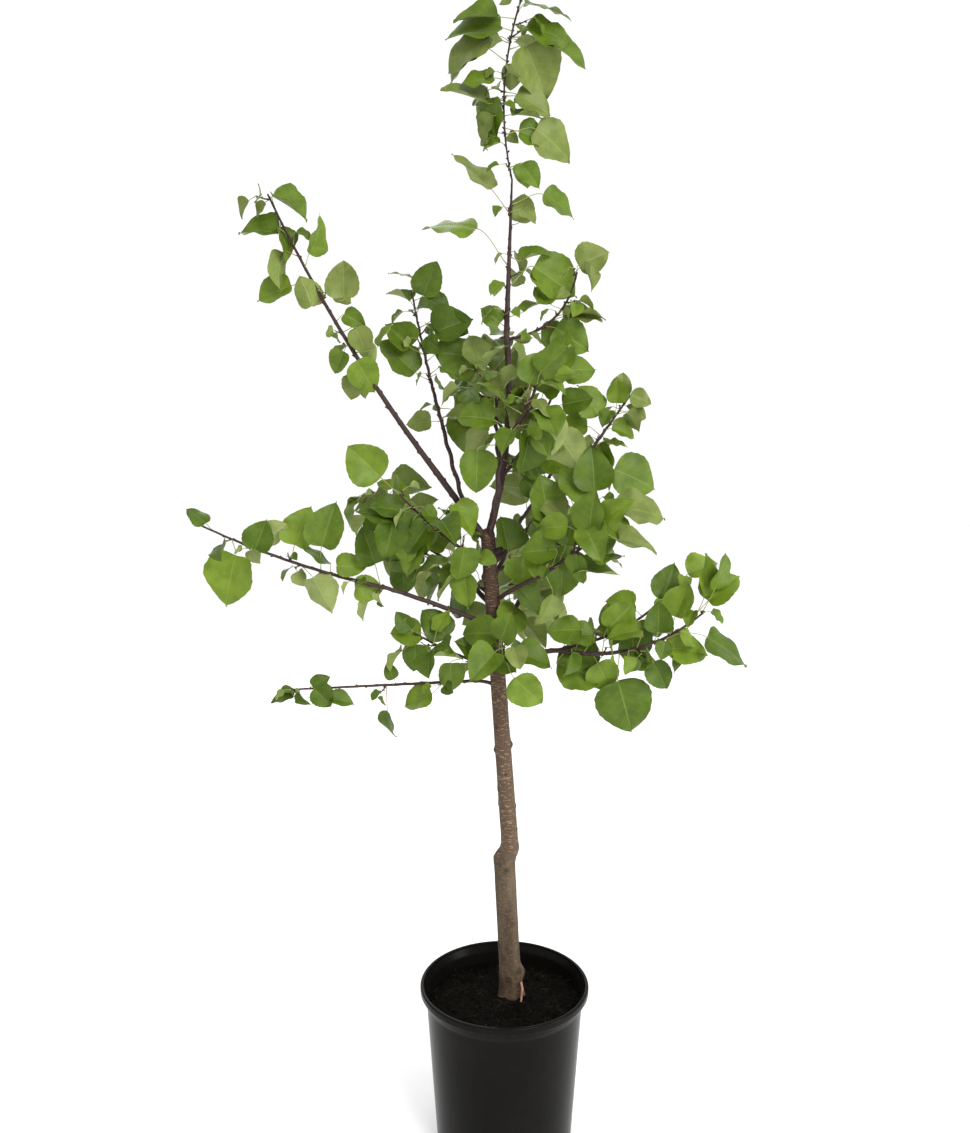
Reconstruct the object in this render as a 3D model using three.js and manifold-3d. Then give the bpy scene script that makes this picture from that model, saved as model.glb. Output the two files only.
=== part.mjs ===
// A young apricot tree in a black nursery pot.
// Millimetres, +Z up, origin at the middle of the pot's flat underside.
// Azimuth 0 points right (+X), 90 away (+Y), 180 left and 270 to the front.

import * as THREE from 'three';
import { mergeVertices } from 'three/addons/utils/BufferGeometryUtils.js';
import Module from 'manifold-3d';

const wasm = await Module();
wasm.setup();

// Clearance kept between pieces that meet
const GAP = 0.3;

// Edges shorter than this, left where leaves and twigs are fused, are closed up
const SHORTEST_EDGE = 0.08;

// Pot: a tall tapering container with a rolled rim and drainage slots round its foot
const POT_HEIGHT = 255;
const RIM_RADIUS = 130;
const RIM_HEIGHT = 12;
const RIM_OVERHANG = 8;
const RIM_WALL = 5.5;
const RIM_BEAD = RIM_HEIGHT / 3;
const FOOT_RADIUS = 105;
const FOOT_ROUNDING = 9;
const FOOT_BEVEL = 0.3 * FOOT_ROUNDING;
const POT_WALL = 2.4;
const POT_FLOOR = 3;
const POT_SIDES = 36;
const SLOT_COUNT = 8;
const SLOT_WIDTH = 18;
const SLOT_HEIGHT = 11;
const SLOT_DEPTH = 7;
const SLOT_FIRST_AZIMUTH = 22.5;

// Soil: filled to a little below the rim
const SOIL_BELOW_RIM = 30;
const SOIL_LEVEL = POT_HEIGHT - SOIL_BELOW_RIM;
const SOIL_SIDES = 36;

// Trunk: a thicker rootstock below the graft and a leaning stem above it
const TRUNK_FOOT = new THREE.Vector2(11, 18);
const TRUNK_GRAFT = new THREE.Vector2(-1, 11);
const TRUNK_FORK = new THREE.Vector2(-26, 0);
const GRAFT_HEIGHT = 462;
const GRAFT_STEP = 10;
const GRAFT_BLEND = 14;
const GRAFT_SHARPNESS = 4;
const FORK_HEIGHT = 952;
const ROOTSTOCK_RADIUS = 15.5;
const GRAFT_SWELLING = 1.8;
const STEM_FOOT_RADIUS = 12.4;
const STEM_FORK_RADIUS = 9.6;
const ROOT_FLARE = 4.5;
const ROOT_FLARE_HEIGHT = 16;
const TRUNK_SIDES = 12;
const TRUNK_STEPS = 18;
const STUB_HEIGHT = 922;
const STUB_AZIMUTH = -20;
const STUB_RADIUS = 4.6;
const STUB_REACH = 20;
const STUB_CLIMB = 10;
const BURR_RADIUS = 6;
const BURR_HEIGHT = 30;
const BURR_SINK = 1;

// Limbs
const BOUGH_SIDES = 5;
const BOUGH_STEPS = 5;
const BOUGH_COLLAR = 0.35;
const SEAT_SINK = 0.35;
const STEM_SIDES = 3;
const STEM_STEPS = 5;
const STEM_TIP_RADIUS = 1.3;
const SPUR_SIDES = 3;
const SPUR_STEPS = 2;
const SPUR_FOOT_RADIUS = 1.9;
const SPUR_TIP_RADIUS = 1.2;
const SPUR_ONWARD = 0.7;
const SPUR_UNREST = 0.3;
const SPUR_SAG = 0.06;
const SPUR_CLEAR_FROM = 0.25;
const SPUR_LEAVES = 4;
const SPUR_LEAVES_FROM = 0.55;
const SPUR_LEAF_UNITS = 4;
const SPUR_LEAF_SPREAD = 3;
const NODE_OFFSET = 0.6;
const TURN_SPREAD = 6;

// Leaf blades: broad and egg-shaped. The outline's half width goes as share^LEAF_FOOT_POWER
// times (1 - share)^LEAF_TIP_POWER, scaled to be 1 where it is widest.
const LEAF_BREADTH = 0.95;
const LEAF_FOOT_POWER = 0.45;
const LEAF_TIP_POWER = 0.75;
const LEAF_WIDEST = LEAF_FOOT_POWER / (LEAF_FOOT_POWER + LEAF_TIP_POWER);
const LEAF_THICKNESS = 1;
const LEAF_SIDES = 3;
const LEAF_STATIONS = [0, 0, 0.4, 1];
const LEAF_ARCH = 0.16;
const LEAF_FOLD = 0.22;
const LEAF_UNIT = 9;
const DEFAULT_LEAF_UNITS = 6;
const BLADE_SHORTEST = 0.92;
const BLADE_LONGEST = 1.08;
const LEAF_TRIES = 12;
const LEAF_CLEARANCE = 1;
const PHYLLOTAXIS = THREE.MathUtils.degToRad(144);

// How a leaf is held: lengths are shares of its blade, leanings and unrest of a unit way
const PETIOLE_RADIUS = 0.9;
const STALK_SHORTEST = 0.36;
const STALK_LONGEST = 0.648;
const STALK_ONWARD = 0.4;
const STALK_RISE = 0.12;
const STALK_UNREST = 0.22;
const SHORT_STALK = 0.55;
const LONG_STALK = 1.5;
const DROOP_LEAST = 0.25;
const DROOP_MOST = 1.35;
const BLADE_UNREST = 0.3;
const FACE_OUTWARD = 0.8;
const FACE_UP = 0.8;
const FACE_TURNED = 1.6;
const TOP_TURNED_UP = 1.1;
const SQUARE_TURNED_UP = 0.35;
const UNDERSIDE_TURNED_UP = 0.8;
const FACE_UNREST = 0.75;
const SQUARE_UNREST = 0.3;

// Keys that keep one draw of chance apart from the next
const DRAW = {
  stalkLength: 11,
  stalkWay: 12,
  droop: 13,
  bladeWay: 14,
  face: 15,
  bladeLength: 16,
  fold: 17,
  spurWay: 21,
  spurLeaf: 22,
};

const UP = new THREE.Vector3(0, 0, 1);
const COMPASS = {
  u: new THREE.Vector3(0, 0, 1),
  d: new THREE.Vector3(0, 0, -1),
  l: new THREE.Vector3(-1, 0, 0),
  r: new THREE.Vector3(1, 0, 0),
  f: new THREE.Vector3(0, -1, 0),
  b: new THREE.Vector3(0, 1, 0),
};

// Main boughs. Each starts on another limb, at a share of that limb's length, runs a
// horizontal reach at an azimuth while it climbs, and bows above (+) or below (-) its chord.
const BOUGHS = [
  {
    name: 'leader', from: 'trunk',
    at: 1, azimuth: 0, reach: 26, climb: 290, bow: -14, radius: 5.6, tip: 4.3,
  },
  {
    name: 'left_high_bough', from: 'trunk',
    at: 0.985, azimuth: 190, reach: 82, climb: 112, bow: 0, radius: 5.2, tip: 4.3,
  },
  {
    name: 'left_inner_bough', from: 'left_high_bough',
    at: 0.36, azimuth: 121, reach: 70, climb: 118, bow: -3, radius: 3.4, tip: 2.9,
  },
  {
    name: 'left_mid_bough', from: 'trunk',
    at: 0.812, azimuth: 189, reach: 158, climb: 63, bow: 2, radius: 3.9, tip: 2.9,
  },
  {
    name: 'left_low_bough', from: 'trunk',
    at: 0.686, azimuth: 189, reach: 46, climb: 11, bow: 4, radius: 2.9, tip: 2.4,
  },
  {
    name: 'right_low_bough', from: 'trunk',
    at: 0.707, azimuth: -24, reach: 97, climb: 50, bow: 11, radius: 4.6, tip: 3.5,
  },
  {
    name: 'right_mid_bough', from: 'trunk',
    at: 0.862, azimuth: -41, reach: 91, climb: 50, bow: 3, radius: 3.4, tip: 2.7,
  },
  {
    name: 'right_high_bough', from: 'trunk',
    at: 0.94, azimuth: 28, reach: 124, climb: 105, bow: -4, radius: 4.8, tip: 3.4,
  },
  {
    name: 'front_bough', from: 'trunk',
    at: 0.985, azimuth: -72, reach: 55, climb: 142, bow: -8, radius: 3.8, tip: 3,
  },
  {
    name: 'back_low_bough', from: 'trunk',
    at: 0.765, azimuth: 72, reach: 110, climb: 48, bow: 6, radius: 3.8, tip: 2.8,
  },
  {
    name: 'back_left_bough', from: 'trunk',
    at: 0.85, azimuth: 132, reach: 112, climb: 62, bow: 4, radius: 4, tip: 3,
  },
  {
    name: 'back_right_bough', from: 'trunk',
    at: 0.895, azimuth: 62, reach: 96, climb: 88, bow: 3, radius: 4, tip: 3,
  },
  {
    name: 'back_high_bough', from: 'leader',
    at: 0.28, azimuth: 96, reach: 66, climb: 104, bow: -5, radius: 3.4, tip: 2.6,
  },
];

// Foliage masses. Each has one stem, described as a bough is, and a word for each of its
// nodes from foot to tip. A dash is a bare node and a point a leaf in its turn round the
// stem. Letters give the way that a leaf stalk points (up, down, left, right, front, back
// or onward), those after a stroke the way that the blade then points and those after a
// second stroke the way that its upper side looks. A digit is the blade's length in leaf
// units, a tilde turns the underside to the front, a plus lays the blade square to the
// front, a comma shortens the stalk and a caret lengthens it. A star grows a side twig of
// that many leaf units in place of a leaf.
const MASSES = [
  {
    name: 'left_high_leaves', from: 'left_high_bough',
    at: 1, azimuth: 188, reach: 218, climb: 366, bow: -11,
    nodes: '- - - - - - - - l/ddl4+^ - f/ddr6+, rrd/uur/fll4+^ d/ddl4+, r/ddr5+ r/rrd4+, - '
      + 'ld/uuul5~+, rrd/u6+^ dl/lllld/uf6+ uur/uuurr/frr6+, l/dddl/bll6+ ur/rrrd/uuf3+ '
      + 'l/ddr/frr5+, d/llllu/uf6+, u/rrd/uuf6+, dl/ld/uf3+,',
  },
  {
    name: 'left_inner_leaves', from: 'left_inner_bough',
    at: 1, azimuth: 147, reach: 57, climb: 204, bow: -3,
    nodes: 'r/d8+ lld/l4+, - rrd/r7, - - - l/lu/uf8+, r/rru7+, - r/r7+, l/ul6+ ur/rru7+ - l/uul6+, '
      + 'r/rrd6+ - ur/rrd/uf5+ ul/ul/fu4, r/uur6+, u/llu/u4',
  },
  {
    name: 'left_mid_leaves', from: 'left_mid_bough',
    at: 1, azimuth: 185, reach: 262, climb: 95, bow: -8,
    nodes: 'u/uul6 u/rrd5+, d/r5+, d/r4+, u/r5+, uur/ul/ru5, uur/uuur7+ - dr/ddr6~+ uur/uur7+, - '
      + 'r/rdd/r4+, f/uur5+, r/ur6~+, - ddr/ddddl8+, - ul/ul/fur4+, -',
  },
  {
    name: 'left_low_leaves', from: 'left_low_bough',
    at: 1, azimuth: 185, reach: 268, climb: -7, bow: 0,
    nodes: '- - ddl/lld/uf5+ d/d3, - - - u/uul3+, ddddr/d/fl5+^ - - - - - rd/r/uf4+ f/dr4+, '
      + 'rru/rru/uf3, d/l/uu3, dr/l/uuf4+,',
  },
  {
    name: 'left_low_inner_leaves', from: 'trunk',
    at: 0.724, azimuth: 194, reach: 125, climb: 62, bow: -4, radius: 2.6,
    nodes: '- u/ul5, u/u5 u/r5 ld/d5+ u/l6 u/ul6 *f3 d/r/uuf5, ul/l5+ d/d5+, ul/ul4+,',
  },
  {
    name: 'left_upper_cluster', from: 'trunk',
    at: 0.935, azimuth: 199, reach: 134, climb: 110, bow: -6, radius: 2.9,
    nodes: '- u/ul5 d/dl6 f/d6 u/ul5 d/l6 *u4 u/u7 f/dl6 d/dl6 l/l6 d/d6 dl/l6 d/d6 o/ul7+',
  },
  {
    name: 'left_lower_cluster', from: 'trunk',
    at: 0.875, azimuth: 170, reach: 140, climb: 78, bow: 6, radius: 2.8,
    nodes: '- u/ul6 d/dl6 f/d6 *f3 u/ul6 d/dl6 u/u6 l/l6 f/dl6 u/ul6 d/d6 ld/l5+,',
  },
  {
    name: 'right_low_leaves', from: 'right_low_bough',
    at: 1, azimuth: -7, reach: 204, climb: 62, bow: -26,
    nodes: 'dl/rrrd/uf8+, u/l6 u/l6 d/ddr6+, u/ur6 - dddl/ddddr9+ d/r5 u/l6 d/ddr5+^ u/u5+, '
      + 'd/r/uf7+, u/u6 rrd/rrd/uuf8+^ ru/ru/uuf6+^ u/u/fr7+ uuur/uuur/fr6+^',
  },
  {
    name: 'right_low_upper_leaves', from: 'right_low_bough',
    at: 0.8, azimuth: 10, reach: 212, climb: 104, bow: -24, radius: 2.7,
    nodes: '- u/u4, f/l6 u/ul4, d/l6 u/u4+, u/u5, f/d6 u/l5+, l/lllu5+ d/ddr4+, dd/u3+, ld/uur6+, - '
      + 'uur/rru/uf5+,',
  },
  {
    name: 'right_mid_leaves', from: 'right_mid_bough',
    at: 1, azimuth: -33, reach: 101, climb: 72, bow: 0,
    nodes: 'd/d5 u/l6 u/u6 d/r/uuf7+, f/d5 *u3 u/u6 d/rr/uuf5 u/ur5 rd/rrr/uuf6+',
  },
  {
    name: 'right_high_leaves', from: 'right_high_bough',
    at: 1, azimuth: 8, reach: 100, climb: 138, bow: 0,
    nodes: 'd/d6~ l/l6 rrd/rrrd8+^ r/dr6 f/d5 l/l5 rru/ddr/fl5+, rrd/rr/uuf3+^ l/l5+ r/rrrd/uf4+, '
      + 'l/ul6 u/u4+ rrd/rrd3+^ ul/u4+, f/rrd4+,',
  },
  {
    name: 'right_cluster', from: 'trunk',
    at: 0.922, azimuth: -24, reach: 174, climb: 108, bow: -5, radius: 3,
    nodes: '- u/u6 d/dr6 f/d6 u/ur6 *f3 d/r6 u/u7 d/d6 u/ul6 f/dr6 d/r6 u/ul6 u/u7+ d/d5 '
      + 'rrd/r/uuf8+,',
  },
  {
    name: 'front_leaves', from: 'front_bough',
    at: 1, azimuth: -33, reach: 58, climb: 84, bow: -4,
    nodes: 'dl/d7+ r/d7 l/l6 *ur4 r/r6 l/ul5 *u4 u/u6 *r4 o/ur6',
  },
  {
    name: 'front_low_leaves', from: 'trunk',
    at: 0.752, azimuth: -80, reach: 62, climb: 14, bow: 4, radius: 2.2,
    nodes: 'l/d7+ r/r7+ u/l6 r/r6 *u2 u/u5 rdd/rd7+',
  },
  {
    name: 'centre_right_leaves', from: 'leader',
    at: 0.3, azimuth: -21, reach: 84, climb: 135, bow: -6, radius: 2.9,
    nodes: 'l/d6+, r/r7 d/dr5 u/u6 *f3 r/dr7~ u/ul6 f/d6~ u/ur6 r/r5 *u3 u/u6 o/r6',
  },
  {
    name: 'centre_left_leaves', from: 'leader',
    at: 0.5, azimuth: 150, reach: 52, climb: 108, bow: -4, radius: 2.5,
    nodes: '- l/l6 u/u5 d/dl6~ *l3 l/ul6 u/u6 r/ur5 o/u5',
  },
  {
    name: 'leader_middle_leaves', from: 'leader',
    at: 1, azimuth: 0, reach: 7, climb: 208, bow: 0,
    nodes: 'l/ul4+, r/ur4 - - rru/rrd8+^ u/r4+, lllu/lllu/uuf8+^ rd/rru/uuf5+, - - r/uuuur5+, '
      + 'ul/ul/fur8+ rrd/rrrd/uf6+^ - -',
  },
  {
    name: 'leader_top_leaves', from: 'leader_middle_leaves',
    at: 1, azimuth: 0, reach: 12, climb: 234, bow: 17,
    nodes: '- r/d4 - - - l/l3, - rrd/rrd7+^ rd/rrd/uf5 l/ddl/fl5, rrd/r/uf5, l/ddl/fll5, l/d/fl6+, '
      + 'ld/llu/uuf7+, rd/rrd/uf6+, - lld/l/uf5+, rd/rrd6, r/d4~, l/lld/uf7 - rrd/ddr8+, '
      + 'lld/lld/uf8+ rrd/rrd/uf8+ lld/l/uf8+, rd/r/uf7+, lllld/l/uf7+, rru/r/uuf7+, f/u5 o/u5',
  },
  {
    name: 'right_top_leaves', from: 'leader',
    at: 0.97, azimuth: -6, reach: 97, climb: 90, bow: -24, radius: 2.4,
    nodes: '- u/ul5+, dr/r6, u/uur6+, dr/rrd6+, r/r/uuf6+, rrd/r/uuf6+, l/ul4 l/uul8+, l/u8+, - '
      + 'u/rru5+,',
  },
  {
    name: 'back_low_leaves', from: 'back_low_bough',
    at: 1, azimuth: 78, reach: 140, climb: 55, bow: -8,
    nodes: '. . . *u3 . . . . *u3 . . . .',
  },
  {
    name: 'back_left_leaves', from: 'back_left_bough',
    at: 1, azimuth: 142, reach: 150, climb: 95, bow: -8,
    nodes: '. . . *u3 . . . . *u3 . . . . .',
  },
  {
    name: 'back_right_leaves', from: 'back_right_bough',
    at: 1, azimuth: 50, reach: 120, climb: 125, bow: -8,
    nodes: '. . . *u3 . . . . *u3 . . . .',
  },
  {
    name: 'back_high_leaves', from: 'back_high_bough',
    at: 1, azimuth: 80, reach: 80, climb: 106, bow: -6,
    nodes: '. . . *u3 . . . . *u3 . . . .',
  },
  {
    name: 'back_low_right_leaves', from: 'trunk',
    at: 0.8, azimuth: 58, reach: 140, climb: 50, bow: 6, radius: 2.8,
    nodes: '- . . . *u3 . . . . .',
  },
];

const MATERIALS = {
  pot: { color: 0x17181a, roughness: 0.42, metalness: 0 },
  soil: { color: 0x2a211b, roughness: 0.95, metalness: 0 },
  trunk: { color: 0x7a6a5a, roughness: 0.85, metalness: 0 },
  bough: { color: 0x5b3a30, roughness: 0.7, metalness: 0 },
  leaf: { color: 0x5f8230, roughness: 0.55, metalness: 0 },
};

// Solids

function solidOf(geometry) {
  geometry.deleteAttribute('normal');
  geometry.deleteAttribute('uv');
  const merged = mergeVertices(geometry, 1e-4);
  const mesh = new wasm.Mesh({
    numProp: 3,
    vertProperties: new Float32Array(merged.attributes.position.array),
    triVerts: new Uint32Array(merged.index.array),
  });
  return new wasm.Manifold(mesh);
}

function largestPiece(solid) {
  const pieces = solid.decompose();
  return pieces.reduce((best, piece) => (piece.volume() > best.volume() ? piece : best));
}

function meshOf(solid, name, look) {
  const { vertProperties, triVerts } = solid.getMesh();
  const geometry = new THREE.BufferGeometry();
  geometry.setAttribute('position', new THREE.BufferAttribute(new Float32Array(vertProperties), 3));
  geometry.setIndex(new THREE.BufferAttribute(new Uint32Array(triVerts), 1));
  geometry.computeVertexNormals();
  const mesh = new THREE.Mesh(geometry, new THREE.MeshStandardMaterial(MATERIALS[look]));
  mesh.name = name;
  return mesh;
}

// Seeded chance: the same keys always give the same number from 0 to 1

function chance(...keys) {
  let mix = 2166136261;
  for (const key of keys) {
    mix = Math.imul(mix ^ key, 16777619);
    mix ^= mix >>> 15;
    mix = Math.imul(mix, 2246822507);
    mix ^= mix >>> 13;
  }
  return (mix >>> 0) / 4294967296;
}

function between(least, most, ...keys) {
  return least + (most - least) * chance(...keys);
}

function chanceVector(...keys) {
  return new THREE.Vector3(
    2 * chance(...keys, 1) - 1,
    2 * chance(...keys, 2) - 1,
    2 * chance(...keys, 3) - 1,
  );
}

// Limbs: a limb has a centre line at(share), its direction along(share) and radius(share)

function bowedLimb(start, { azimuth, reach, climb, bow }, footRadius, tipRadius, collar = 0) {
  const heading = THREE.MathUtils.degToRad(azimuth);
  const out = new THREE.Vector3(Math.cos(heading), Math.sin(heading), 0);
  const side = new THREE.Vector3(-Math.sin(heading), Math.cos(heading), 0);
  const length = Math.hypot(reach, climb);
  const chord = out.clone().multiplyScalar(reach).addScaledVector(UP, climb);
  const lift = out.clone().multiplyScalar(-climb / length).addScaledVector(UP, reach / length);
  return {
    side,
    length,
    at: (share) => start.clone()
      .addScaledVector(chord, share)
      .addScaledVector(lift, 4 * bow * share * (1 - share)),
    along: (share) => chord.clone()
      .addScaledVector(lift, 4 * bow * (1 - 2 * share))
      .normalize(),
    radius: (share) => {
      const taper = footRadius + (tipRadius - footRadius) * share;
      return taper * (1 + collar * Math.exp((-share * length) / (2 * footRadius)));
    },
  };
}

// How far the trunk has gone over from rootstock (0) to stem (1) at a height above the graft
function graftShareAt(aboveGraft) {
  return 1 / (1 + Math.exp((-aboveGraft * GRAFT_SHARPNESS) / GRAFT_BLEND));
}

function trunkLimb() {
  const height = FORK_HEIGHT - SOIL_LEVEL - GAP;
  const graftShare = (GRAFT_HEIGHT - SOIL_LEVEL) / height;
  const axis = (share) => {
    const aboveGraft = (share - graftShare) * height;
    const step = GRAFT_STEP * graftShareAt(aboveGraft);
    const graft = new THREE.Vector2(TRUNK_GRAFT.x + step, TRUNK_GRAFT.y);
    const point = share < graftShare
      ? TRUNK_FOOT.clone().lerp(TRUNK_GRAFT, share / graftShare).add(new THREE.Vector2(step, 0))
      : graft.lerp(TRUNK_FORK, (share - graftShare) / (1 - graftShare));
    return new THREE.Vector3(point.x, point.y, SOIL_LEVEL + GAP + share * height);
  };
  return {
    side: new THREE.Vector3(0, 1, 0),
    length: height,
    at: axis,
    along: () => UP.clone(),
    radius: (share) => {
      const aboveFoot = share * height;
      const aboveGraft = (share - graftShare) * height;
      const above = graftShareAt(aboveGraft);
      const stemShare = Math.max(0, (share - graftShare) / (1 - graftShare));
      const stem = STEM_FOOT_RADIUS + (STEM_FORK_RADIUS - STEM_FOOT_RADIUS) * stemShare;
      const swelling = GRAFT_SWELLING * Math.exp(-((aboveGraft / GRAFT_BLEND) ** 2));
      const flare = ROOT_FLARE * Math.exp(-aboveFoot / ROOT_FLARE_HEIGHT);
      return ROOTSTOCK_RADIUS * (1 - above) + stem * above + swelling + flare;
    },
  };
}

// The point of a limb's surface at a share of its length, in a unit circle's x and z
function surfacePoint(limb, share, x, z, extra = 0) {
  const along = limb.along(share);
  const side = limb.side.clone().addScaledVector(along, -along.dot(limb.side)).normalize();
  const across = side.clone().cross(along);
  const radius = limb.radius(share) + extra;
  return limb.at(share).addScaledVector(side, x * radius).addScaledVector(across, z * radius);
}

// A cylinder bent along a limb's centre line and narrowed to its taper
function limbSolid(limb, sides, steps, extra = 0) {
  const geometry = new THREE.CylinderGeometry(1, 1, 1, sides, steps);
  const position = geometry.attributes.position;
  for (let i = 0; i < position.count; i += 1) {
    const share = position.getY(i) + 0.5;
    const point = surfacePoint(limb, share, position.getX(i), position.getZ(i), extra);
    if (share === 1) point.addScaledVector(limb.along(1), extra);
    position.setXYZ(i, point.x, point.y, point.z);
  }
  return solidOf(geometry);
}

// Leaves

function leafWidth(share) {
  const swell = (at) => at ** LEAF_FOOT_POWER * (1 - at) ** LEAF_TIP_POWER;
  return swell(share) / swell(LEAF_WIDEST);
}

// A point of a leaf on one of its stations: the stalk's foot and end, then along the blade.
// Side runs from -1 to 1 across it, and level is 0 on top and -1 at the keel below.
function leafPoint(leaf, station, side, level) {
  const share = LEAF_STATIONS[station];
  if (share === 0) {
    const middle = station === 0 ? leaf.foot : leaf.root;
    return middle.clone()
      .addScaledVector(leaf.stalkSide, side * PETIOLE_RADIUS)
      .addScaledVector(leaf.stalkFace, level * PETIOLE_RADIUS);
  }
  const halfWidth = (leaf.length * LEAF_BREADTH * leafWidth(share)) / 2;
  const arch = -LEAF_ARCH * leaf.length * share * share;
  const fold = leaf.fold * halfWidth * Math.abs(side);
  const skin = share < 1 ? LEAF_THICKNESS * level : 0;
  return leaf.root.clone()
    .addScaledVector(leaf.axis, share * leaf.length)
    .addScaledVector(leaf.across, side * halfWidth)
    .addScaledVector(leaf.face, arch + fold + skin);
}

// A three-sided cone laid along the stalk and blade: two edges are the rim, one the keel
function leafSolid(leaf) {
  const stations = LEAF_STATIONS.length - 1;
  const geometry = new THREE.ConeGeometry(1, 1, LEAF_SIDES, stations);
  const position = geometry.attributes.position;
  for (let i = 0; i < position.count; i += 1) {
    const station = Math.round((position.getY(i) + 0.5) * stations);
    const side = -Math.sign(Math.round(2 * stations * position.getX(i)));
    const level = side === 0 && position.getZ(i) > 0 ? -1 : 0;
    const point = leafPoint(leaf, station, side, level);
    position.setXYZ(i, point.x, point.y, point.z);
  }
  return solidOf(geometry);
}

// Where a stalk and blade would lie for one try at one node
function placeLeaf(node, plan, keys) {
  const stalkShare = between(STALK_SHORTEST, STALK_LONGEST, ...keys, DRAW.stalkLength);
  const stalkLength = plan.length * plan.stalk * stalkShare;
  const stalkWay = plan.way.clone()
    .addScaledVector(node.along, STALK_ONWARD)
    .addScaledVector(UP, STALK_RISE)
    .addScaledVector(chanceVector(...keys, DRAW.stalkWay), STALK_UNREST)
    .normalize();
  const root = node.point.clone().addScaledVector(stalkWay, stalkLength + node.radius);
  const droop = plan.bladeWay ? 0 : between(DROOP_LEAST, DROOP_MOST, ...keys, DRAW.droop);
  const axis = (plan.bladeWay ?? stalkWay).clone()
    .addScaledVector(UP, -droop)
    .addScaledVector(chanceVector(...keys, DRAW.bladeWay), BLADE_UNREST * plan.unrest)
    .normalize();
  const facing = leafFacing(root, plan);
  facing.addScaledVector(chanceVector(...keys, DRAW.face), FACE_UNREST * plan.unrest);
  const face = facing.addScaledVector(axis, -facing.dot(axis)).normalize();
  const across = axis.clone().cross(face);
  const stalkSide = across.clone().addScaledVector(stalkWay, -across.dot(stalkWay)).normalize();
  return {
    foot: node.point,
    root,
    axis,
    face,
    across,
    stalkSide,
    stalkFace: stalkSide.clone().cross(stalkWay),
    length: plan.length * between(BLADE_SHORTEST, BLADE_LONGEST, ...keys, DRAW.bladeLength),
    fold: LEAF_FOLD * chance(...keys, DRAW.fold),
  };
}

// The way a blade's upper side looks: a free leaf faces out and up, a turned one the front
function leafFacing(root, plan) {
  if (plan.faceWay) return plan.faceWay.clone().multiplyScalar(FACE_TURNED);
  if (plan.bladeWay && plan.underside) return new THREE.Vector3(0, 1, UNDERSIDE_TURNED_UP);
  if (plan.isSquare) return new THREE.Vector3(0, -1, SQUARE_TURNED_UP);
  if (plan.bladeWay) return new THREE.Vector3(0, -1, TOP_TURNED_UP);
  const outward = new THREE.Vector3(root.x, root.y, 0).normalize();
  return outward.multiplyScalar(FACE_OUTWARD).addScaledVector(UP, FACE_UP);
}

// Touch test: two pieces touch where an edge of one crosses a face of the other

function pieceOf(owner, points, faces) {
  const edges = [];
  for (const [a, b, c] of faces) {
    for (const [from, to] of [[a, b], [b, c], [c, a]]) {
      if (from < to) edges.push([from, to]);
    }
  }
  return { owner, points, faces, edges, box: new THREE.Box3().setFromPoints(points) };
}

// The stations from one to another of a leaf, with a clearance added to its thickness
function leafPiece(owner, leaf, first, last) {
  const over = LEAF_CLEARANCE / LEAF_THICKNESS;
  const points = [];
  const faces = [];
  for (let station = first; station <= last; station += 1) {
    points.push(
      leafPoint(leaf, station, 1, 0),
      leafPoint(leaf, station, 0, over),
      leafPoint(leaf, station, -1, 0),
      leafPoint(leaf, station, 0, -1 - over),
    );
  }
  const corners = 4;
  for (let here = 0; here < points.length - corners; here += 1) {
    const next = (here + 1) % corners === 0 ? here + 1 - corners : here + 1;
    faces.push([here, next, here + corners], [next, next + corners, here + corners]);
  }
  return pieceOf(owner, points, faces);
}

function limbPiece(owner, limb, sides, steps, from = 0) {
  const points = [];
  const faces = [];
  for (let step = 0; step <= steps; step += 1) {
    const share = from + ((1 - from) * step) / steps;
    for (let k = 0; k < sides; k += 1) {
      const angle = (2 * Math.PI * k) / sides;
      points.push(surfacePoint(limb, share, Math.cos(angle), Math.sin(angle), LEAF_CLEARANCE));
      if (step === steps) continue;
      const here = step * sides + k;
      const next = step * sides + ((k + 1) % sides);
      faces.push([here, next, here + sides], [next, next + sides, here + sides]);
    }
  }
  const tip = steps * sides;
  for (let k = 1; k < sides - 1; k += 1) faces.push([tip, tip + k, tip + k + 1]);
  return pieceOf(owner, points, faces);
}

function edgeCrossesFace(start, end, a, b, c) {
  const way = end.clone().sub(start);
  const ab = b.clone().sub(a);
  const ac = c.clone().sub(a);
  const turn = way.clone().cross(ac);
  const det = ab.dot(turn);
  if (Math.abs(det) < 1e-9) return false;
  const offset = start.clone().sub(a);
  const u = offset.dot(turn) / det;
  if (u < 0 || u > 1) return false;
  const lean = offset.cross(ab);
  const v = way.dot(lean) / det;
  if (v < 0 || u + v > 1) return false;
  const t = ac.dot(lean) / det;
  return t >= 0 && t <= 1;
}

function edgesCross(one, other) {
  return one.edges.some(([from, to]) => {
    const start = one.points[from];
    const end = one.points[to];
    const reach = new THREE.Box3().setFromPoints([start, end]);
    if (!reach.intersectsBox(other.box)) return false;
    return other.faces.some(([a, b, c]) => (
      edgeCrossesFace(start, end, other.points[a], other.points[b], other.points[c])
    ));
  });
}

function touches(piece, placed, spared) {
  return placed.some((other) => (
    !spared.includes(other.owner)
    && piece.box.intersectsBox(other.box)
    && (edgesCross(piece, other) || edgesCross(other, piece))
  ));
}

// Growth

// Who owns a piece: keys start with the number of the mass
const bladesOf = (keys) => `blades of ${keys[0]}`;
const stalksOf = (keys) => `stalks of ${keys[0]}`;

function wayOf(letters, onward) {
  const way = new THREE.Vector3();
  for (const letter of letters) way.add(letter === 'o' ? onward : COMPASS[letter]);
  return way.normalize();
}

function stalkFactor(marks) {
  if (marks.includes(',')) return SHORT_STALK;
  return marks.includes('^') ? LONG_STALK : 1;
}

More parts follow.
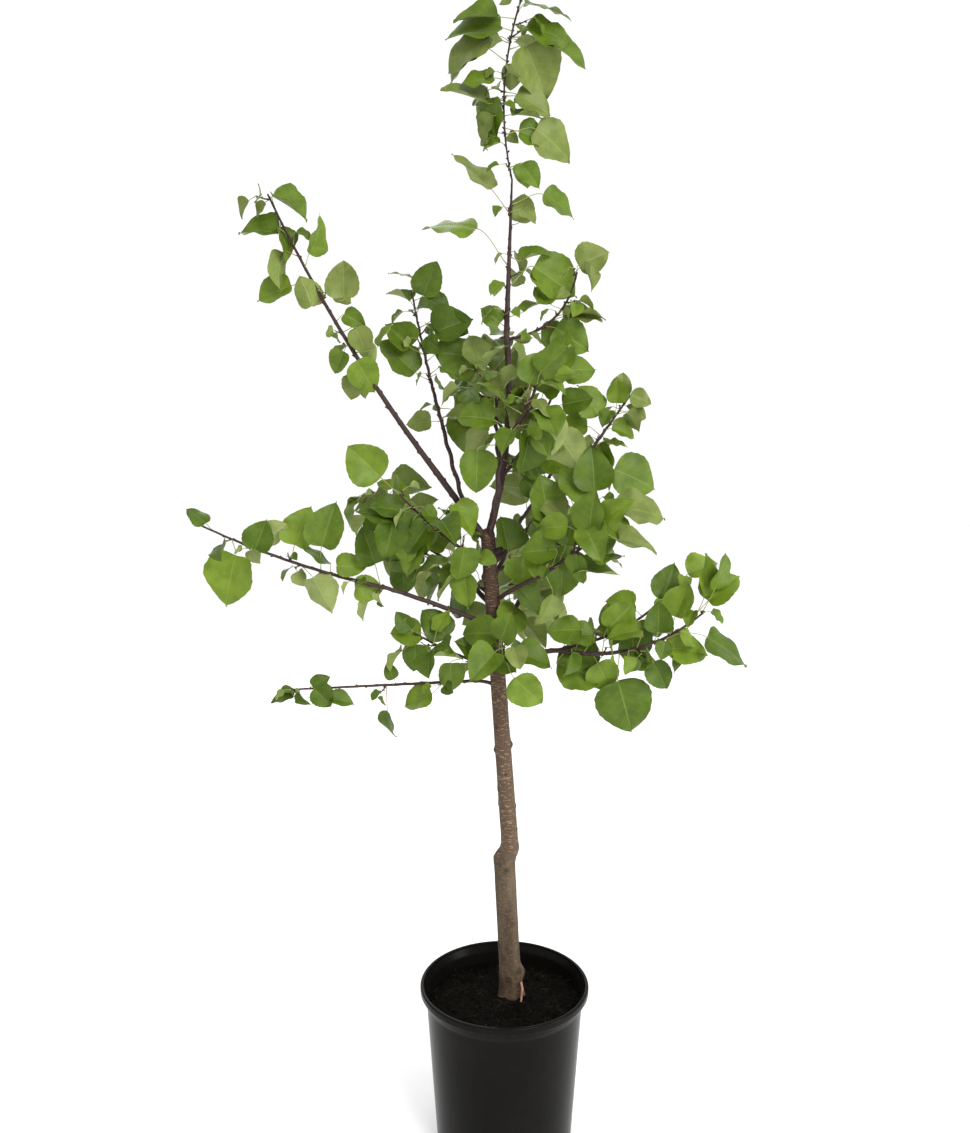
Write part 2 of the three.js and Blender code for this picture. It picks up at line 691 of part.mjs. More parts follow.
function readWord(word, node, turn) {
  const grammar = /^(\*?)([a-z.]*)(?:\/([a-z]+))?(?:\/([a-z]+))?(\d*)([~+,^]*)$/;
  const [, star, letters, bladeLetters, faceLetters, digit, marks] = word.match(grammar);
  const inTurn = letters === '' || letters === '.';
  const round = node.side.clone().multiplyScalar(Math.cos(turn))
    .addScaledVector(node.side.clone().cross(node.along), Math.sin(turn));
  return {
    isTwig: star === '*',
    way: inTurn ? round : wayOf(letters, node.along),
    bladeWay: bladeLetters ? wayOf(bladeLetters, node.along) : null,
    faceWay: faceLetters ? wayOf(faceLetters, node.along) : null,
    length: LEAF_UNIT * Number(digit || DEFAULT_LEAF_UNITS),
    underside: marks.includes('~'),
    isSquare: marks.includes('+'),
    unrest: marks.includes('+') ? SQUARE_UNREST : 1,
    stalk: stalkFactor(marks),
  };
}

function nodeOf(limb, share) {
  return {
    point: limb.at(share),
    along: limb.along(share),
    side: limb.side,
    radius: limb.radius(share),
  };
}

// The first of a few tries at a leaf that touches nothing else, or null. Stalks and blades
// of one mass may pass each other.
function growLeaf(grown, node, plan, keys) {
  for (let attempt = 0; attempt < LEAF_TRIES; attempt += 1) {
    const leaf = placeLeaf(node, plan, [...keys, attempt]);
    const blade = leafPiece(bladesOf(keys), leaf, 1, LEAF_STATIONS.length - 1);
    const stalk = leafPiece(stalksOf(keys), leaf, 0, 1);
    const bladeFree = !touches(blade, grown.placed, [stalk.owner]);
    if (bladeFree && !touches(stalk, grown.placed, [stalk.owner, blade.owner, node.owner])) {
      grown.placed.push(blade, stalk);
      return leaf;
    }
  }
  return null;
}

// A side twig with a tuft of leaves towards its tip, or nothing where it has no room
function growSpur(grown, node, plan, keys) {
  const way = plan.way.clone()
    .addScaledVector(node.along, SPUR_ONWARD)
    .addScaledVector(chanceVector(...keys, DRAW.spurWay), SPUR_UNREST)
    .normalize();
  const row = {
    azimuth: THREE.MathUtils.radToDeg(Math.atan2(way.y, way.x)),
    reach: Math.hypot(way.x, way.y) * plan.length,
    climb: way.z * plan.length,
    bow: -SPUR_SAG * plan.length,
  };
  const spur = bowedLimb(node.point, row, SPUR_FOOT_RADIUS, SPUR_TIP_RADIUS);
  const owner = `spurs of ${keys[0]}`;
  const piece = limbPiece(owner, spur, SPUR_SIDES, SPUR_STEPS, SPUR_CLEAR_FROM);
  if (touches(piece, grown.placed, [node.owner])) return { spurs: [], leaves: [] };
  grown.placed.push(piece);
  const leaves = [];
  for (let k = 0; k < SPUR_LEAVES; k += 1) {
    const share = SPUR_LEAVES_FROM + ((1 - SPUR_LEAVES_FROM) * (k + 1)) / SPUR_LEAVES;
    const leafNode = { ...nodeOf(spur, share), owner };
    const units = SPUR_LEAF_UNITS + Math.floor(SPUR_LEAF_SPREAD * chance(...keys, k, DRAW.spurLeaf));
    const leaf = growLeaf(grown, leafNode, readWord(`.${units}`, leafNode, k * PHYLLOTAXIS), [...keys, k]);
    if (leaf) leaves.push(leaf);
  }
  return { spurs: [spur], leaves };
}

// One round of a mass's growth: the leaves laid square to the front come before the rest
function growRound(grown, stem, row, number, shoots, squareRound) {
  const words = row.nodes.split(' ');
  words.forEach((word, k) => {
    if (word === '-') return;
    const node = { ...nodeOf(stem, (k + NODE_OFFSET) / words.length), owner: row.name };
    const plan = readWord(word, node, k * PHYLLOTAXIS + TURN_SPREAD * chance(number));
    if (plan.isSquare !== squareRound) return;
    if (plan.isTwig) {
      const shoot = growSpur(grown, node, plan, [number, k]);
      shoots.spurs.push(...shoot.spurs);
      shoots.leaves.push(...shoot.leaves);
      return;
    }
    const leaf = growLeaf(grown, node, plan, [number, k]);
    if (leaf) shoots.leaves.push(leaf);
  });
}

function growMasses(grown, limbs) {
  const masses = MASSES.map(() => ({ spurs: [], leaves: [] }));
  for (const squareRound of [true, false]) {
    MASSES.forEach((row, number) => {
      growRound(grown, limbs[row.name], row, number, masses[number], squareRound);
    });
  }
  return masses;
}

// The tree

// A limb's line starts on the middle of the limb that carries it, or just inside its end
function startOf(parent, at) {
  if (at < 1) return parent.at(at);
  return parent.at(1).addScaledVector(parent.along(1), -SEAT_SINK * parent.radius(1));
}

// The lines of the trunk, the boughs and the masses' stems, by name
function limbLines() {
  const limbs = { trunk: trunkLimb() };
  for (const row of BOUGHS) {
    const start = startOf(limbs[row.from], row.at);
    limbs[row.name] = bowedLimb(start, row, row.radius, row.tip, row.at < 1 ? BOUGH_COLLAR : 0);
  }
  for (const row of MASSES) {
    const parent = limbs[row.from];
    const footRadius = row.radius ?? parent.radius(1);
    limbs[row.name] = bowedLimb(startOf(parent, row.at), row, footRadius, STEM_TIP_RADIUS);
  }
  return limbs;
}

function sidesOf(name) {
  return MASSES.some((row) => row.name === name) ? STEM_SIDES : BOUGH_SIDES;
}

function stubLimb() {
  const foot = new THREE.Vector3(TRUNK_FORK.x, TRUNK_FORK.y, STUB_HEIGHT);
  const row = { azimuth: STUB_AZIMUTH, reach: STUB_REACH, climb: STUB_CLIMB, bow: 0 };
  return bowedLimb(foot, row, STUB_RADIUS, STUB_RADIUS);
}

// The trunk with the stub of a cut limb below its fork and a burr at its foot
function trunkSolid(trunk, extra = 0) {
  const burr = new THREE.SphereGeometry(BURR_RADIUS, 8, 5);
  burr.translate(
    TRUNK_FOOT.x + ROOTSTOCK_RADIUS - BURR_SINK,
    TRUNK_FOOT.y,
    SOIL_LEVEL + BURR_HEIGHT,
  );
  return limbSolid(trunk, TRUNK_SIDES, TRUNK_STEPS, extra)
    .add(limbSolid(stubLimb(), BOUGH_SIDES, 1, extra))
    .add(solidOf(burr));
}

// A limb whose foot is cut to the surfaces of the limbs made before it, a gap clear. Its own
// outline, grown by that gap, is added to theirs.
function seatedLimb(name, limb, outlines) {
  const steps = sidesOf(name) === STEM_SIDES ? STEM_STEPS : BOUGH_STEPS;
  const solid = limbSolid(limb, sidesOf(name), steps);
  const box = solid.boundingBox();
  const meets = (other) => [0, 1, 2].every((axis) => (
    box.min[axis] < other.max[axis] && box.max[axis] > other.min[axis]
  ));
  const carriers = outlines.filter((outline) => meets(outline.boundingBox()));
  outlines.push(limbSolid(limb, sidesOf(name), steps, GAP));
  return largestPiece(carriers.reduce((rest, carrier) => rest.subtract(carrier), solid));
}

// A mass's stem with its side twigs and leaves fused on
function massSolid(stem, shoots) {
  return largestPiece(wasm.Manifold.union([
    stem,
    ...shoots.spurs.map((spur) => limbSolid(spur, SPUR_SIDES, SPUR_STEPS)),
    ...shoots.leaves.map((leaf) => leafSolid(leaf)),
  ])).asOriginal().simplify(SHORTEST_EDGE);
}

function tree() {
  const limbs = limbLines();
  const placed = Object.entries(limbs).map(([name, limb]) => (
    limbPiece(name, limb, sidesOf(name), STEM_STEPS)
  ));
  placed.push(limbPiece('trunk', stubLimb(), BOUGH_SIDES, 1));
  const masses = growMasses({ placed }, limbs);
  const outlines = [trunkSolid(limbs.trunk, GAP)];
  const meshes = [meshOf(trunkSolid(limbs.trunk), 'trunk', 'trunk')];
  for (const { name } of BOUGHS) {
    meshes.push(meshOf(seatedLimb(name, limbs[name], outlines), name, 'bough'));
  }
  MASSES.forEach(({ name }, number) => {
    const stem = seatedLimb(name, limbs[name], outlines);
    meshes.push(meshOf(massSolid(stem, masses[number]), name, 'leaf'));
  });
  return meshes;
}

// Pot and soil

function wallRadius(height) {
  const top = RIM_RADIUS - RIM_OVERHANG;
  return FOOT_RADIUS + ((top - FOOT_RADIUS) * height) / POT_HEIGHT;
}

function turned(outline, sides) {
  const points = outline.map(([radius, height]) => new THREE.Vector2(radius, height));
  const geometry = new THREE.LatheGeometry(points, sides);
  geometry.rotateX(Math.PI / 2);
  return solidOf(geometry);
}

// A drainage slot's cutter, half of it inside the pot's bottom corner
function slotSolid(azimuth) {
  const slot = new THREE.BoxGeometry(2 * SLOT_DEPTH, SLOT_WIDTH, 2 * SLOT_HEIGHT);
  slot.translate(FOOT_RADIUS, 0, 0);
  slot.rotateZ(THREE.MathUtils.degToRad(azimuth));
  return solidOf(slot);
}

function potShell() {
  const lipFoot = POT_HEIGHT - RIM_HEIGHT;
  return turned([
    [0, 0],
    [wallRadius(0) - FOOT_ROUNDING, 0],
    [wallRadius(0) - FOOT_BEVEL, FOOT_BEVEL],
    [wallRadius(FOOT_ROUNDING), FOOT_ROUNDING],
    [wallRadius(lipFoot), lipFoot],
    [RIM_RADIUS - RIM_BEAD / 2, lipFoot],
    [RIM_RADIUS, lipFoot + RIM_BEAD],
    [RIM_RADIUS, POT_HEIGHT - RIM_BEAD / 2],
    [RIM_RADIUS - RIM_BEAD / 2, POT_HEIGHT],
    [RIM_RADIUS - RIM_WALL, POT_HEIGHT],
    [wallRadius(lipFoot) - POT_WALL, lipFoot],
    [wallRadius(POT_FLOOR) - POT_WALL, POT_FLOOR],
    [0, POT_FLOOR],
  ], POT_SIDES);
}

function potSolid() {
  let pot = potShell();
  for (let k = 0; k < SLOT_COUNT; k += 1) {
    pot = pot.subtract(slotSolid(SLOT_FIRST_AZIMUTH + (360 * k) / SLOT_COUNT));
  }
  return pot;
}

function soilSolid() {
  const clear = POT_WALL + 2 * GAP;
  return turned([
    [0, POT_FLOOR + GAP],
    [wallRadius(POT_FLOOR) - clear, POT_FLOOR + GAP],
    [wallRadius(SOIL_LEVEL) - clear, SOIL_LEVEL],
    [0, SOIL_LEVEL],
  ], SOIL_SIDES);
}

const plant = new THREE.Group();
plant.add(meshOf(potSolid(), 'pot', 'pot'));
plant.add(meshOf(soilSolid(), 'soil', 'soil'));
plant.add(...tree());

export default plant;
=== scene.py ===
import math
import re
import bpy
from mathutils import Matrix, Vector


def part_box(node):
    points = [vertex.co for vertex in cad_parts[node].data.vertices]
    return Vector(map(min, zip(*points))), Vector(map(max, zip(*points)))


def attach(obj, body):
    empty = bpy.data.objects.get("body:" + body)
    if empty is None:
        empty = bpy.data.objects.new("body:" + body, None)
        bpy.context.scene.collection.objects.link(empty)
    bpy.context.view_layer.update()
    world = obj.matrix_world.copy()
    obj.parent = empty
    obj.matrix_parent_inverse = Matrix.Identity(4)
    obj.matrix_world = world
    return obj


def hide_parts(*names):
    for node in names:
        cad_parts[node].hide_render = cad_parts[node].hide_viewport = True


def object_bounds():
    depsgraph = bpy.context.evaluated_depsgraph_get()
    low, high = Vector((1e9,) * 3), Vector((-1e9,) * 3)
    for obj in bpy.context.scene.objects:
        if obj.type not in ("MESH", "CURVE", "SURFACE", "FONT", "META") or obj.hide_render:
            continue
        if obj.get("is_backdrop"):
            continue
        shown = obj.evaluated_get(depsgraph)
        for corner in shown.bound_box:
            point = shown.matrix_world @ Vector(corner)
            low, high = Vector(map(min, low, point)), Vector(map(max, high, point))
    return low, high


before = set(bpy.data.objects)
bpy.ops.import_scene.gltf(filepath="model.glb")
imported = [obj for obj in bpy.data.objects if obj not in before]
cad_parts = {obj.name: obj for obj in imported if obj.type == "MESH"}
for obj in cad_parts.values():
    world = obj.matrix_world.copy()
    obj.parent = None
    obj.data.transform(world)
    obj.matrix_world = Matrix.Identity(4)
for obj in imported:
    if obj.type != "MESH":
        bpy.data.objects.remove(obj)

from types import SimpleNamespace

import bmesh
import bpy
import numpy as np

# A young apricot tree in a black nursery pot, dressed over its solids.
# The tree grows by the solids' own rule, in their millimetres, and MM turns its lengths
# into metres. Azimuth 0 points right (+X), 90 away (+Y), 180 left and 270 to the front.

SOLIDS_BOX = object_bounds()
POT_LOW, POT_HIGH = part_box("pot")
SOIL_LOW, SOIL_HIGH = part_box("soil")

# Driving sizes, in millimetres
POT_HEIGHT = 255
MM = (POT_HIGH.z - POT_LOW.z) / POT_HEIGHT
RIM_RADIUS = (POT_HIGH.x - POT_LOW.x) / 2 / MM
SOIL_LEVEL = SOIL_HIGH.z / MM
SOIL_FOOT = SOIL_LOW.z / MM
FORK_HEIGHT = 952
GAP = 0.3

# Pot
RIM_HEIGHT = 12
RIM_OVERHANG = 8
RIM_WALL = 5.5
FOOT_RADIUS = 105
FOOT_ROUNDING = 9
POT_WALL = 2.4
POT_FLOOR = 3
POT_SIDES = 160
SLOT_COUNT = 8
SLOT_WIDTH = 18
SLOT_HEIGHT = 11
SLOT_DEPTH = 7
SLOT_FIRST_AZIMUTH = 22.5

# Trunk
TRUNK_FOOT = (11, 18)
TRUNK_GRAFT = (-1, 11)
TRUNK_FORK = (-26, 0)
GRAFT_HEIGHT = 462
GRAFT_STEP = 10
GRAFT_BLEND = 14
GRAFT_SHARPNESS = 4
ROOTSTOCK_RADIUS = 15.5
GRAFT_SWELLING = 1.8
STEM_FOOT_RADIUS = 12.4
STEM_FORK_RADIUS = 9.6
ROOT_FLARE = 4.5
ROOT_FLARE_HEIGHT = 16
STUB_HEIGHT = 922
STUB_AZIMUTH = -20
STUB_RADIUS = 4.6
STUB_REACH = 20
STUB_CLIMB = 10

# Limbs
BOUGH_SIDES = 5
BOUGH_COLLAR = 0.35
SEAT_SINK = 0.35
STEM_SIDES = 3
STEM_STEPS = 5
STEM_TIP_RADIUS = 1.3
SPUR_SIDES = 3
SPUR_STEPS = 2
SPUR_FOOT_RADIUS = 1.9
SPUR_TIP_RADIUS = 1.2
SPUR_ONWARD = 0.7
SPUR_UNREST = 0.3
SPUR_SAG = 0.06
SPUR_CLEAR_FROM = 0.25
SPUR_LEAVES = 4
SPUR_LEAVES_FROM = 0.55
SPUR_LEAF_UNITS = 4
SPUR_LEAF_SPREAD = 3
NODE_OFFSET = 0.6
TURN_SPREAD = 6

# Leaf blades of the solids, which the touch test reads
LEAF_BREADTH = 0.95
LEAF_FOOT_POWER = 0.45
LEAF_TIP_POWER = 0.75
LEAF_WIDEST = LEAF_FOOT_POWER / (LEAF_FOOT_POWER + LEAF_TIP_POWER)
LEAF_THICKNESS = 1
LEAF_STATIONS = (0, 0, 0.4, 1)
LEAF_ARCH = 0.16
LEAF_FOLD = 0.22
LEAF_UNIT = 9
DEFAULT_LEAF_UNITS = 6
BLADE_SHORTEST = 0.92
BLADE_LONGEST = 1.08
LEAF_TRIES = 12
LEAF_CLEARANCE = 1
PHYLLOTAXIS = math.radians(144)

# How a leaf is held: lengths are shares of its blade, leanings and unrest of a unit way
PETIOLE_RADIUS = 0.9
STALK_SHORTEST = 0.36
STALK_LONGEST = 0.648
STALK_ONWARD = 0.4
STALK_RISE = 0.12
STALK_UNREST = 0.22
SHORT_STALK = 0.55
LONG_STALK = 1.5
DROOP_LEAST = 0.25
DROOP_MOST = 1.35
BLADE_UNREST = 0.3
FACE_OUTWARD = 0.8
FACE_UP = 0.8
FACE_TURNED = 1.6
TOP_TURNED_UP = 1.1
SQUARE_TURNED_UP = 0.35
UNDERSIDE_TURNED_UP = 0.8
FACE_UNREST = 0.75
SQUARE_UNREST = 0.3

# Keys that keep one draw of chance apart from the next
DRAW = dict(
    stalk_length=11, stalk_way=12, droop=13, blade_way=14, face=15, blade_length=16, fold=17,
    spur_way=21, spur_leaf=22, twiglet=31, twiglet_leaf=32, shape=41, colour=51, crumb_place=81,
    crumb_way=82, crumb_size=83, crumb_large=84, crumb_width=85, fibre_place=91, fibre_heading=92,
    fibre_climb=93, fibre_length=94, fibre_bow=95,
)

# Seeds of reliefs, to which each limb adds its own number
SEED = dict(
    soil=7, bark_waves=61, bark_folds=62, stub=63, rootlet=64, bough=100, stem=200, spur=300,
    twiglet=600,
)

# About a full turn, in radians, for waves and headings whose start is a draw of chance
ROUND = 6.28

UP = np.array([0.0, 0.0, 1.0])
RIGHT = np.array([1.0, 0.0, 0.0])
BACK = np.array([0.0, 1.0, 0.0])
COMPASS = {"u": UP, "d": -UP, "r": RIGHT, "l": -RIGHT, "b": BACK, "f": -BACK}

# Main boughs: name, carrying limb, share of it, azimuth, reach, climb, bow, foot and tip radius
BOUGHS = [
    ("leader", "trunk", 1, 0, 26, 290, -14, 5.6, 4.3),
    ("left_high_bough", "trunk", 0.985, 190, 82, 112, 0, 5.2, 4.3),
    ("left_inner_bough", "left_high_bough", 0.36, 121, 70, 118, -3, 3.4, 2.9),
    ("left_mid_bough", "trunk", 0.812, 189, 158, 63, 2, 3.9, 2.9),
    ("left_low_bough", "trunk", 0.686, 189, 46, 11, 4, 2.9, 2.4),
    ("right_low_bough", "trunk", 0.707, -24, 97, 50, 11, 4.6, 3.5),
    ("right_mid_bough", "trunk", 0.862, -41, 91, 50, 3, 3.4, 2.7),
    ("right_high_bough", "trunk", 0.94, 28, 124, 105, -4, 4.8, 3.4),
    ("front_bough", "trunk", 0.985, -72, 55, 142, -8, 3.8, 3),
    ("back_low_bough", "trunk", 0.765, 72, 110, 48, 6, 3.8, 2.8),
    ("back_left_bough", "trunk", 0.85, 132, 112, 62, 4, 4, 3),
    ("back_right_bough", "trunk", 0.895, 62, 96, 88, 3, 4, 3),
    ("back_high_bough", "leader", 0.28, 96, 66, 104, -5, 3.4, 2.6),
]

# Foliage masses: name, carrying limb, share of it, azimuth, reach, climb, bow, foot radius (None
# where it is the carrying limb's tip), colouring, and a word for each node of the stem. A dash
# is a bare node and a point a leaf in its turn. Letters give the way of a leaf stalk (up, down,
# left, right, back, front and onward along the stem), those after a stroke the way of its blade,
# those after a second stroke the way its upper side looks, a digit the blade's length in leaf
# units. A tilde turns the underside to the front, a plus lays the blade square to the front, a
# comma shortens the stalk and a caret lengthens it, and a star grows a side twig of that many
# leaf units.
MASSES = [
    ("left_high_leaves", "left_high_bough", 1, 188, 218, 366, -11, None, "high",
     "- - - - - - - - l/ddl4+^ - f/ddr6+, rrd/uur/fll4+^ d/ddl4+, r/ddr5+ r/rrd4+, - "
     "ld/uuul5~+, rrd/u6+^ dl/lllld/uf6+ uur/uuurr/frr6+, l/dddl/bll6+ ur/rrrd/uuf3+ "
     "l/ddr/frr5+, d/llllu/uf6+, u/rrd/uuf6+, dl/ld/uf3+,"),
    ("left_inner_leaves", "left_inner_bough", 1, 147, 57, 204, -3, None, "middle",
     "r/d8+ lld/l4+, - rrd/r7, - - - l/lu/uf8+, r/rru7+, - r/r7+, l/ul6+ ur/rru7+ - l/uul6+, "
     "r/rrd6+ - ur/rrd/uf5+ ul/ul/fu4, r/uur6+, u/llu/u4"),
    ("left_mid_leaves", "left_mid_bough", 1, 185, 262, 95, -8, None, "low",
     "u/uul6 u/rrd5+, d/r5+, d/r4+, u/r5+, uur/ul/ru5, uur/uuur7+ - dr/ddr6~+ uur/uur7+, - "
     "r/rdd/r4+, f/uur5+, r/ur6~+, - ddr/ddddl8+, - ul/ul/fur4+, -"),
    ("left_low_leaves", "left_low_bough", 1, 185, 268, -7, 0, None, "low",
     "- - ddl/lld/uf5+ d/d3, - - - u/uul3+, ddddr/d/fl5+^ - - - - - rd/r/uf4+ f/dr4+, "
     "rru/rru/uf3, d/l/uu3, dr/l/uuf4+,"),
    ("left_low_inner_leaves", "trunk", 0.724, 194, 125, 62, -4, 2.6, "low",
     "- u/ul5, u/u5 u/r5 ld/d5+ u/l6 u/ul6 *f3 d/r/uuf5, ul/l5+ d/d5+, ul/ul4+,"),
    ("left_upper_cluster", "trunk", 0.935, 199, 134, 110, -6, 2.9, "low",
     "- u/ul5 d/dl6 f/d6 u/ul5 d/l6 *u4 u/u7 f/dl6 d/dl6 l/l6 d/d6 dl/l6 d/d6 o/ul7+"),
    ("left_lower_cluster", "trunk", 0.875, 170, 140, 78, 6, 2.8, "low",
     "- u/ul6 d/dl6 f/d6 *f3 u/ul6 d/dl6 u/u6 l/l6 f/dl6 u/ul6 d/d6 ld/l5+,"),
    ("right_low_leaves", "right_low_bough", 1, -7, 204, 62, -26, None, "low",
     "dl/rrrd/uf8+, u/l6 u/l6 d/ddr6+, u/ur6 - dddl/ddddr9+ d/r5 u/l6 d/ddr5+^ u/u5+, "
     "d/r/uf7+, u/u6 rrd/rrd/uuf8+^ ru/ru/uuf6+^ u/u/fr7+ uuur/uuur/fr6+^"),
    ("right_low_upper_leaves", "right_low_bough", 0.8, 10, 212, 104, -24, 2.7, "low",
     "- u/u4, f/l6 u/ul4, d/l6 u/u4+, u/u5, f/d6 u/l5+, l/lllu5+ d/ddr4+, dd/u3+, ld/uur6+, - "
     "uur/rru/uf5+,"),
    ("right_mid_leaves", "right_mid_bough", 1, -33, 101, 72, 0, None, "middle",
     "d/d5 u/l6 u/u6 d/r/uuf7+, f/d5 *u3 u/u6 d/rr/uuf5 u/ur5 rd/rrr/uuf6+"),
    ("right_high_leaves", "right_high_bough", 1, 8, 100, 138, 0, None, "middle",
     "d/d6~ l/l6 rrd/rrrd8+^ r/dr6 f/d5 l/l5 rru/ddr/fl5+, rrd/rr/uuf3+^ l/l5+ r/rrrd/uf4+, "
     "l/ul6 u/u4+ rrd/rrd3+^ ul/u4+, f/rrd4+,"),
    ("right_cluster", "trunk", 0.922, -24, 174, 108, -5, 3, "middle",
     "- u/u6 d/dr6 f/d6 u/ur6 *f3 d/r6 u/u7 d/d6 u/ul6 f/dr6 d/r6 u/ul6 u/u7+ d/d5 "
     "rrd/r/uuf8+,"),
    ("front_leaves", "front_bough", 1, -33, 58, 84, -4, None, "middle",
     "dl/d7+ r/d7 l/l6 *ur4 r/r6 l/ul5 *u4 u/u6 *r4 o/ur6"),
    ("front_low_leaves", "trunk", 0.752, -80, 62, 14, 4, 2.2, "middle",
     "l/d7+ r/r7+ u/l6 r/r6 *u2 u/u5 rdd/rd7+"),
    ("centre_right_leaves", "leader", 0.3, -21, 84, 135, -6, 2.9, "middle",
     "l/d6+, r/r7 d/dr5 u/u6 *f3 r/dr7~ u/ul6 f/d6~ u/ur6 r/r5 *u3 u/u6 o/r6"),
    ("centre_left_leaves", "leader", 0.5, 150, 52, 108, -4, 2.5, "middle",
     "- l/l6 u/u5 d/dl6~ *l3 l/ul6 u/u6 r/ur5 o/u5"),
    ("leader_middle_leaves", "leader", 1, 0, 7, 208, 0, None, "high",
     "l/ul4+, r/ur4 - - rru/rrd8+^ u/r4+, lllu/lllu/uuf8+^ rd/rru/uuf5+, - - r/uuuur5+, "
     "ul/ul/fur8+ rrd/rrrd/uf6+^ - -"),
    ("leader_top_leaves", "leader_middle_leaves", 1, 0, 12, 234, 17, None, "high",
     "- r/d4 - - - l/l3, - rrd/rrd7+^ rd/rrd/uf5 l/ddl/fl5, rrd/r/uf5, l/ddl/fll5, l/d/fl6+, "
     "ld/llu/uuf7+, rd/rrd/uf6+, - lld/l/uf5+, rd/rrd6, r/d4~, l/lld/uf7 - rrd/ddr8+, "
     "lld/lld/uf8+ rrd/rrd/uf8+ lld/l/uf8+, rd/r/uf7+, lllld/l/uf7+, rru/r/uuf7+, f/u5 o/u5"),
    ("right_top_leaves", "leader", 0.97, -6, 97, 90, -24, 2.4, "high",
     "- u/ul5+, dr/r6, u/uur6+, dr/rrd6+, r/r/uuf6+, rrd/r/uuf6+, l/ul4 l/uul8+, l/u8+, - "
     "u/rru5+,"),
    ("back_low_leaves", "back_low_bough", 1, 78, 140, 55, -8, None, "low",
     ". . . *u3 . . . . *u3 . . . ."),
    ("back_left_leaves", "back_left_bough", 1, 142, 150, 95, -8, None, "low",
     ". . . *u3 . . . . *u3 . . . . ."),
    ("back_right_leaves", "back_right_bough", 1, 50, 120, 125, -8, None, "middle",
     ". . . *u3 . . . . *u3 . . . ."),
    ("back_high_leaves", "back_high_bough", 1, 80, 80, 106, -6, None, "high",
     ". . . *u3 . . . . *u3 . . . ."),
    ("back_low_right_leaves", "trunk", 0.8, 58, 140, 50, 6, 2.8, "low",
     "- . . . *u3 . . . . ."),
]


# Seeded chance: the same keys always give the same number from 0 to 1


HASH_START = 2166136261
HASH_FACTOR = 16777619
HASH_STIR = 2246822507
HASH_BITS = 0xFFFFFFFF


def chance(*keys):
    mix = HASH_START
    for key in keys:
        mix = ((mix ^ key) * HASH_FACTOR) & HASH_BITS
        mix ^= mix >> 15
        mix = (mix * HASH_STIR) & HASH_BITS
        mix ^= mix >> 13
    return mix / (HASH_BITS + 1)


def between(least, most, *keys):
    return least + (most - least) * chance(*keys)


def chance_vector(*keys):
    return np.array([2 * chance(*keys, axis) - 1 for axis in (1, 2, 3)])


def unit(vector):
    return vector / np.linalg.norm(vector, axis=-1, keepdims=True)


# Limbs: a limb has a centre line at(share), its direction along(share) and radius(share)


def bowed_limb(start, azimuth, reach, climb, bow, foot_radius, tip_radius, collar=0.0):
    heading = math.radians(azimuth)
    out = np.array([math.cos(heading), math.sin(heading), 0.0])
    length = math.hypot(reach, climb)
    chord = reach * out + climb * UP
    lift = (reach * UP - climb * out) / length

    def at(share):
        share = np.asarray(share, float)[..., None]
        return start + share * chord + 4 * bow * share * (1 - share) * lift

    def along(share):
        share = np.asarray(share, float)[..., None]
        return unit(chord + 4 * bow * (1 - 2 * share) * lift)

    def radius(share):
        taper = foot_radius + (tip_radius - foot_radius) * share
        return taper * (1 + collar * np.exp(-share * length / (2 * foot_radius)))

    side = np.array([-math.sin(heading), math.cos(heading), 0.0])
    return SimpleNamespace(at=at, along=along, radius=radius, side=side, length=length)


def graft_share_at(above_graft):
    """How far the trunk has gone over from rootstock (0) to stem (1)"""
    return 1 / (1 + np.exp(-above_graft * GRAFT_SHARPNESS / GRAFT_BLEND))


def trunk_limb():
    height = FORK_HEIGHT - SOIL_LEVEL - GAP
    graft_share = (GRAFT_HEIGHT - SOIL_LEVEL) / height
    foot, graft, fork = (np.array(place, float) for place in (TRUNK_FOOT, TRUNK_GRAFT, TRUNK_FORK))

    def at(share):
        share = np.asarray(share, float)
        step = GRAFT_STEP * graft_share_at((share - graft_share) * height)[..., None] * np.array([1.0, 0.0])
        low = (share / graft_share)[..., None]
        high = ((share - graft_share) / (1 - graft_share))[..., None]
        below = foot + (graft - foot) * low + step
        above = (graft + step) + (fork - graft - step) * high
        flat = np.where((share < graft_share)[..., None], below, above)
        return np.concatenate([flat, (SOIL_LEVEL + GAP + share * height)[..., None]], axis=-1)

    def along(share):
        return np.broadcast_to(UP, np.shape(share) + (3,))

    def radius(share):
        above_graft = (share - graft_share) * height
        above = graft_share_at(above_graft)
        stem_share = np.maximum(0, (share - graft_share) / (1 - graft_share))
        stem = STEM_FOOT_RADIUS + (STEM_FORK_RADIUS - STEM_FOOT_RADIUS) * stem_share
        swelling = GRAFT_SWELLING * np.exp(-((above_graft / GRAFT_BLEND) ** 2))
        flare = ROOT_FLARE * np.exp(-share * height / ROOT_FLARE_HEIGHT)
        return ROOTSTOCK_RADIUS * (1 - above) + stem * above + swelling + flare

    side = np.array([0.0, 1.0, 0.0])
    return SimpleNamespace(at=at, along=along, radius=radius, side=side, length=height)


def stub_limb():
    foot = np.array([TRUNK_FORK[0], TRUNK_FORK[1], STUB_HEIGHT], float)
    return bowed_limb(foot, STUB_AZIMUTH, STUB_REACH, STUB_CLIMB, 0, STUB_RADIUS, STUB_RADIUS)


def spokes(count):
    """Even angles round a limb, in radians"""
    return 2 * math.pi * np.arange(count) / count


def turned_ways(angles, side, across):
    """The ways out of each ring of a limb at some angles round it"""
    return np.cos(angles)[None, :, None] * side[:, None] + np.sin(angles)[None, :, None] * across[:, None]


def ring_axes(limb, shares):
    """Two directions across a limb at each of some shares of its length"""
    along = limb.along(shares)
    side = unit(limb.side - along * (along @ limb.side)[..., None])
    return side, np.cross(side, along), along


def start_of(parent, share):
    if share < 1:
        return parent.at(share)
    return parent.at(1.0) - SEAT_SINK * parent.radius(1.0) * parent.along(1.0)


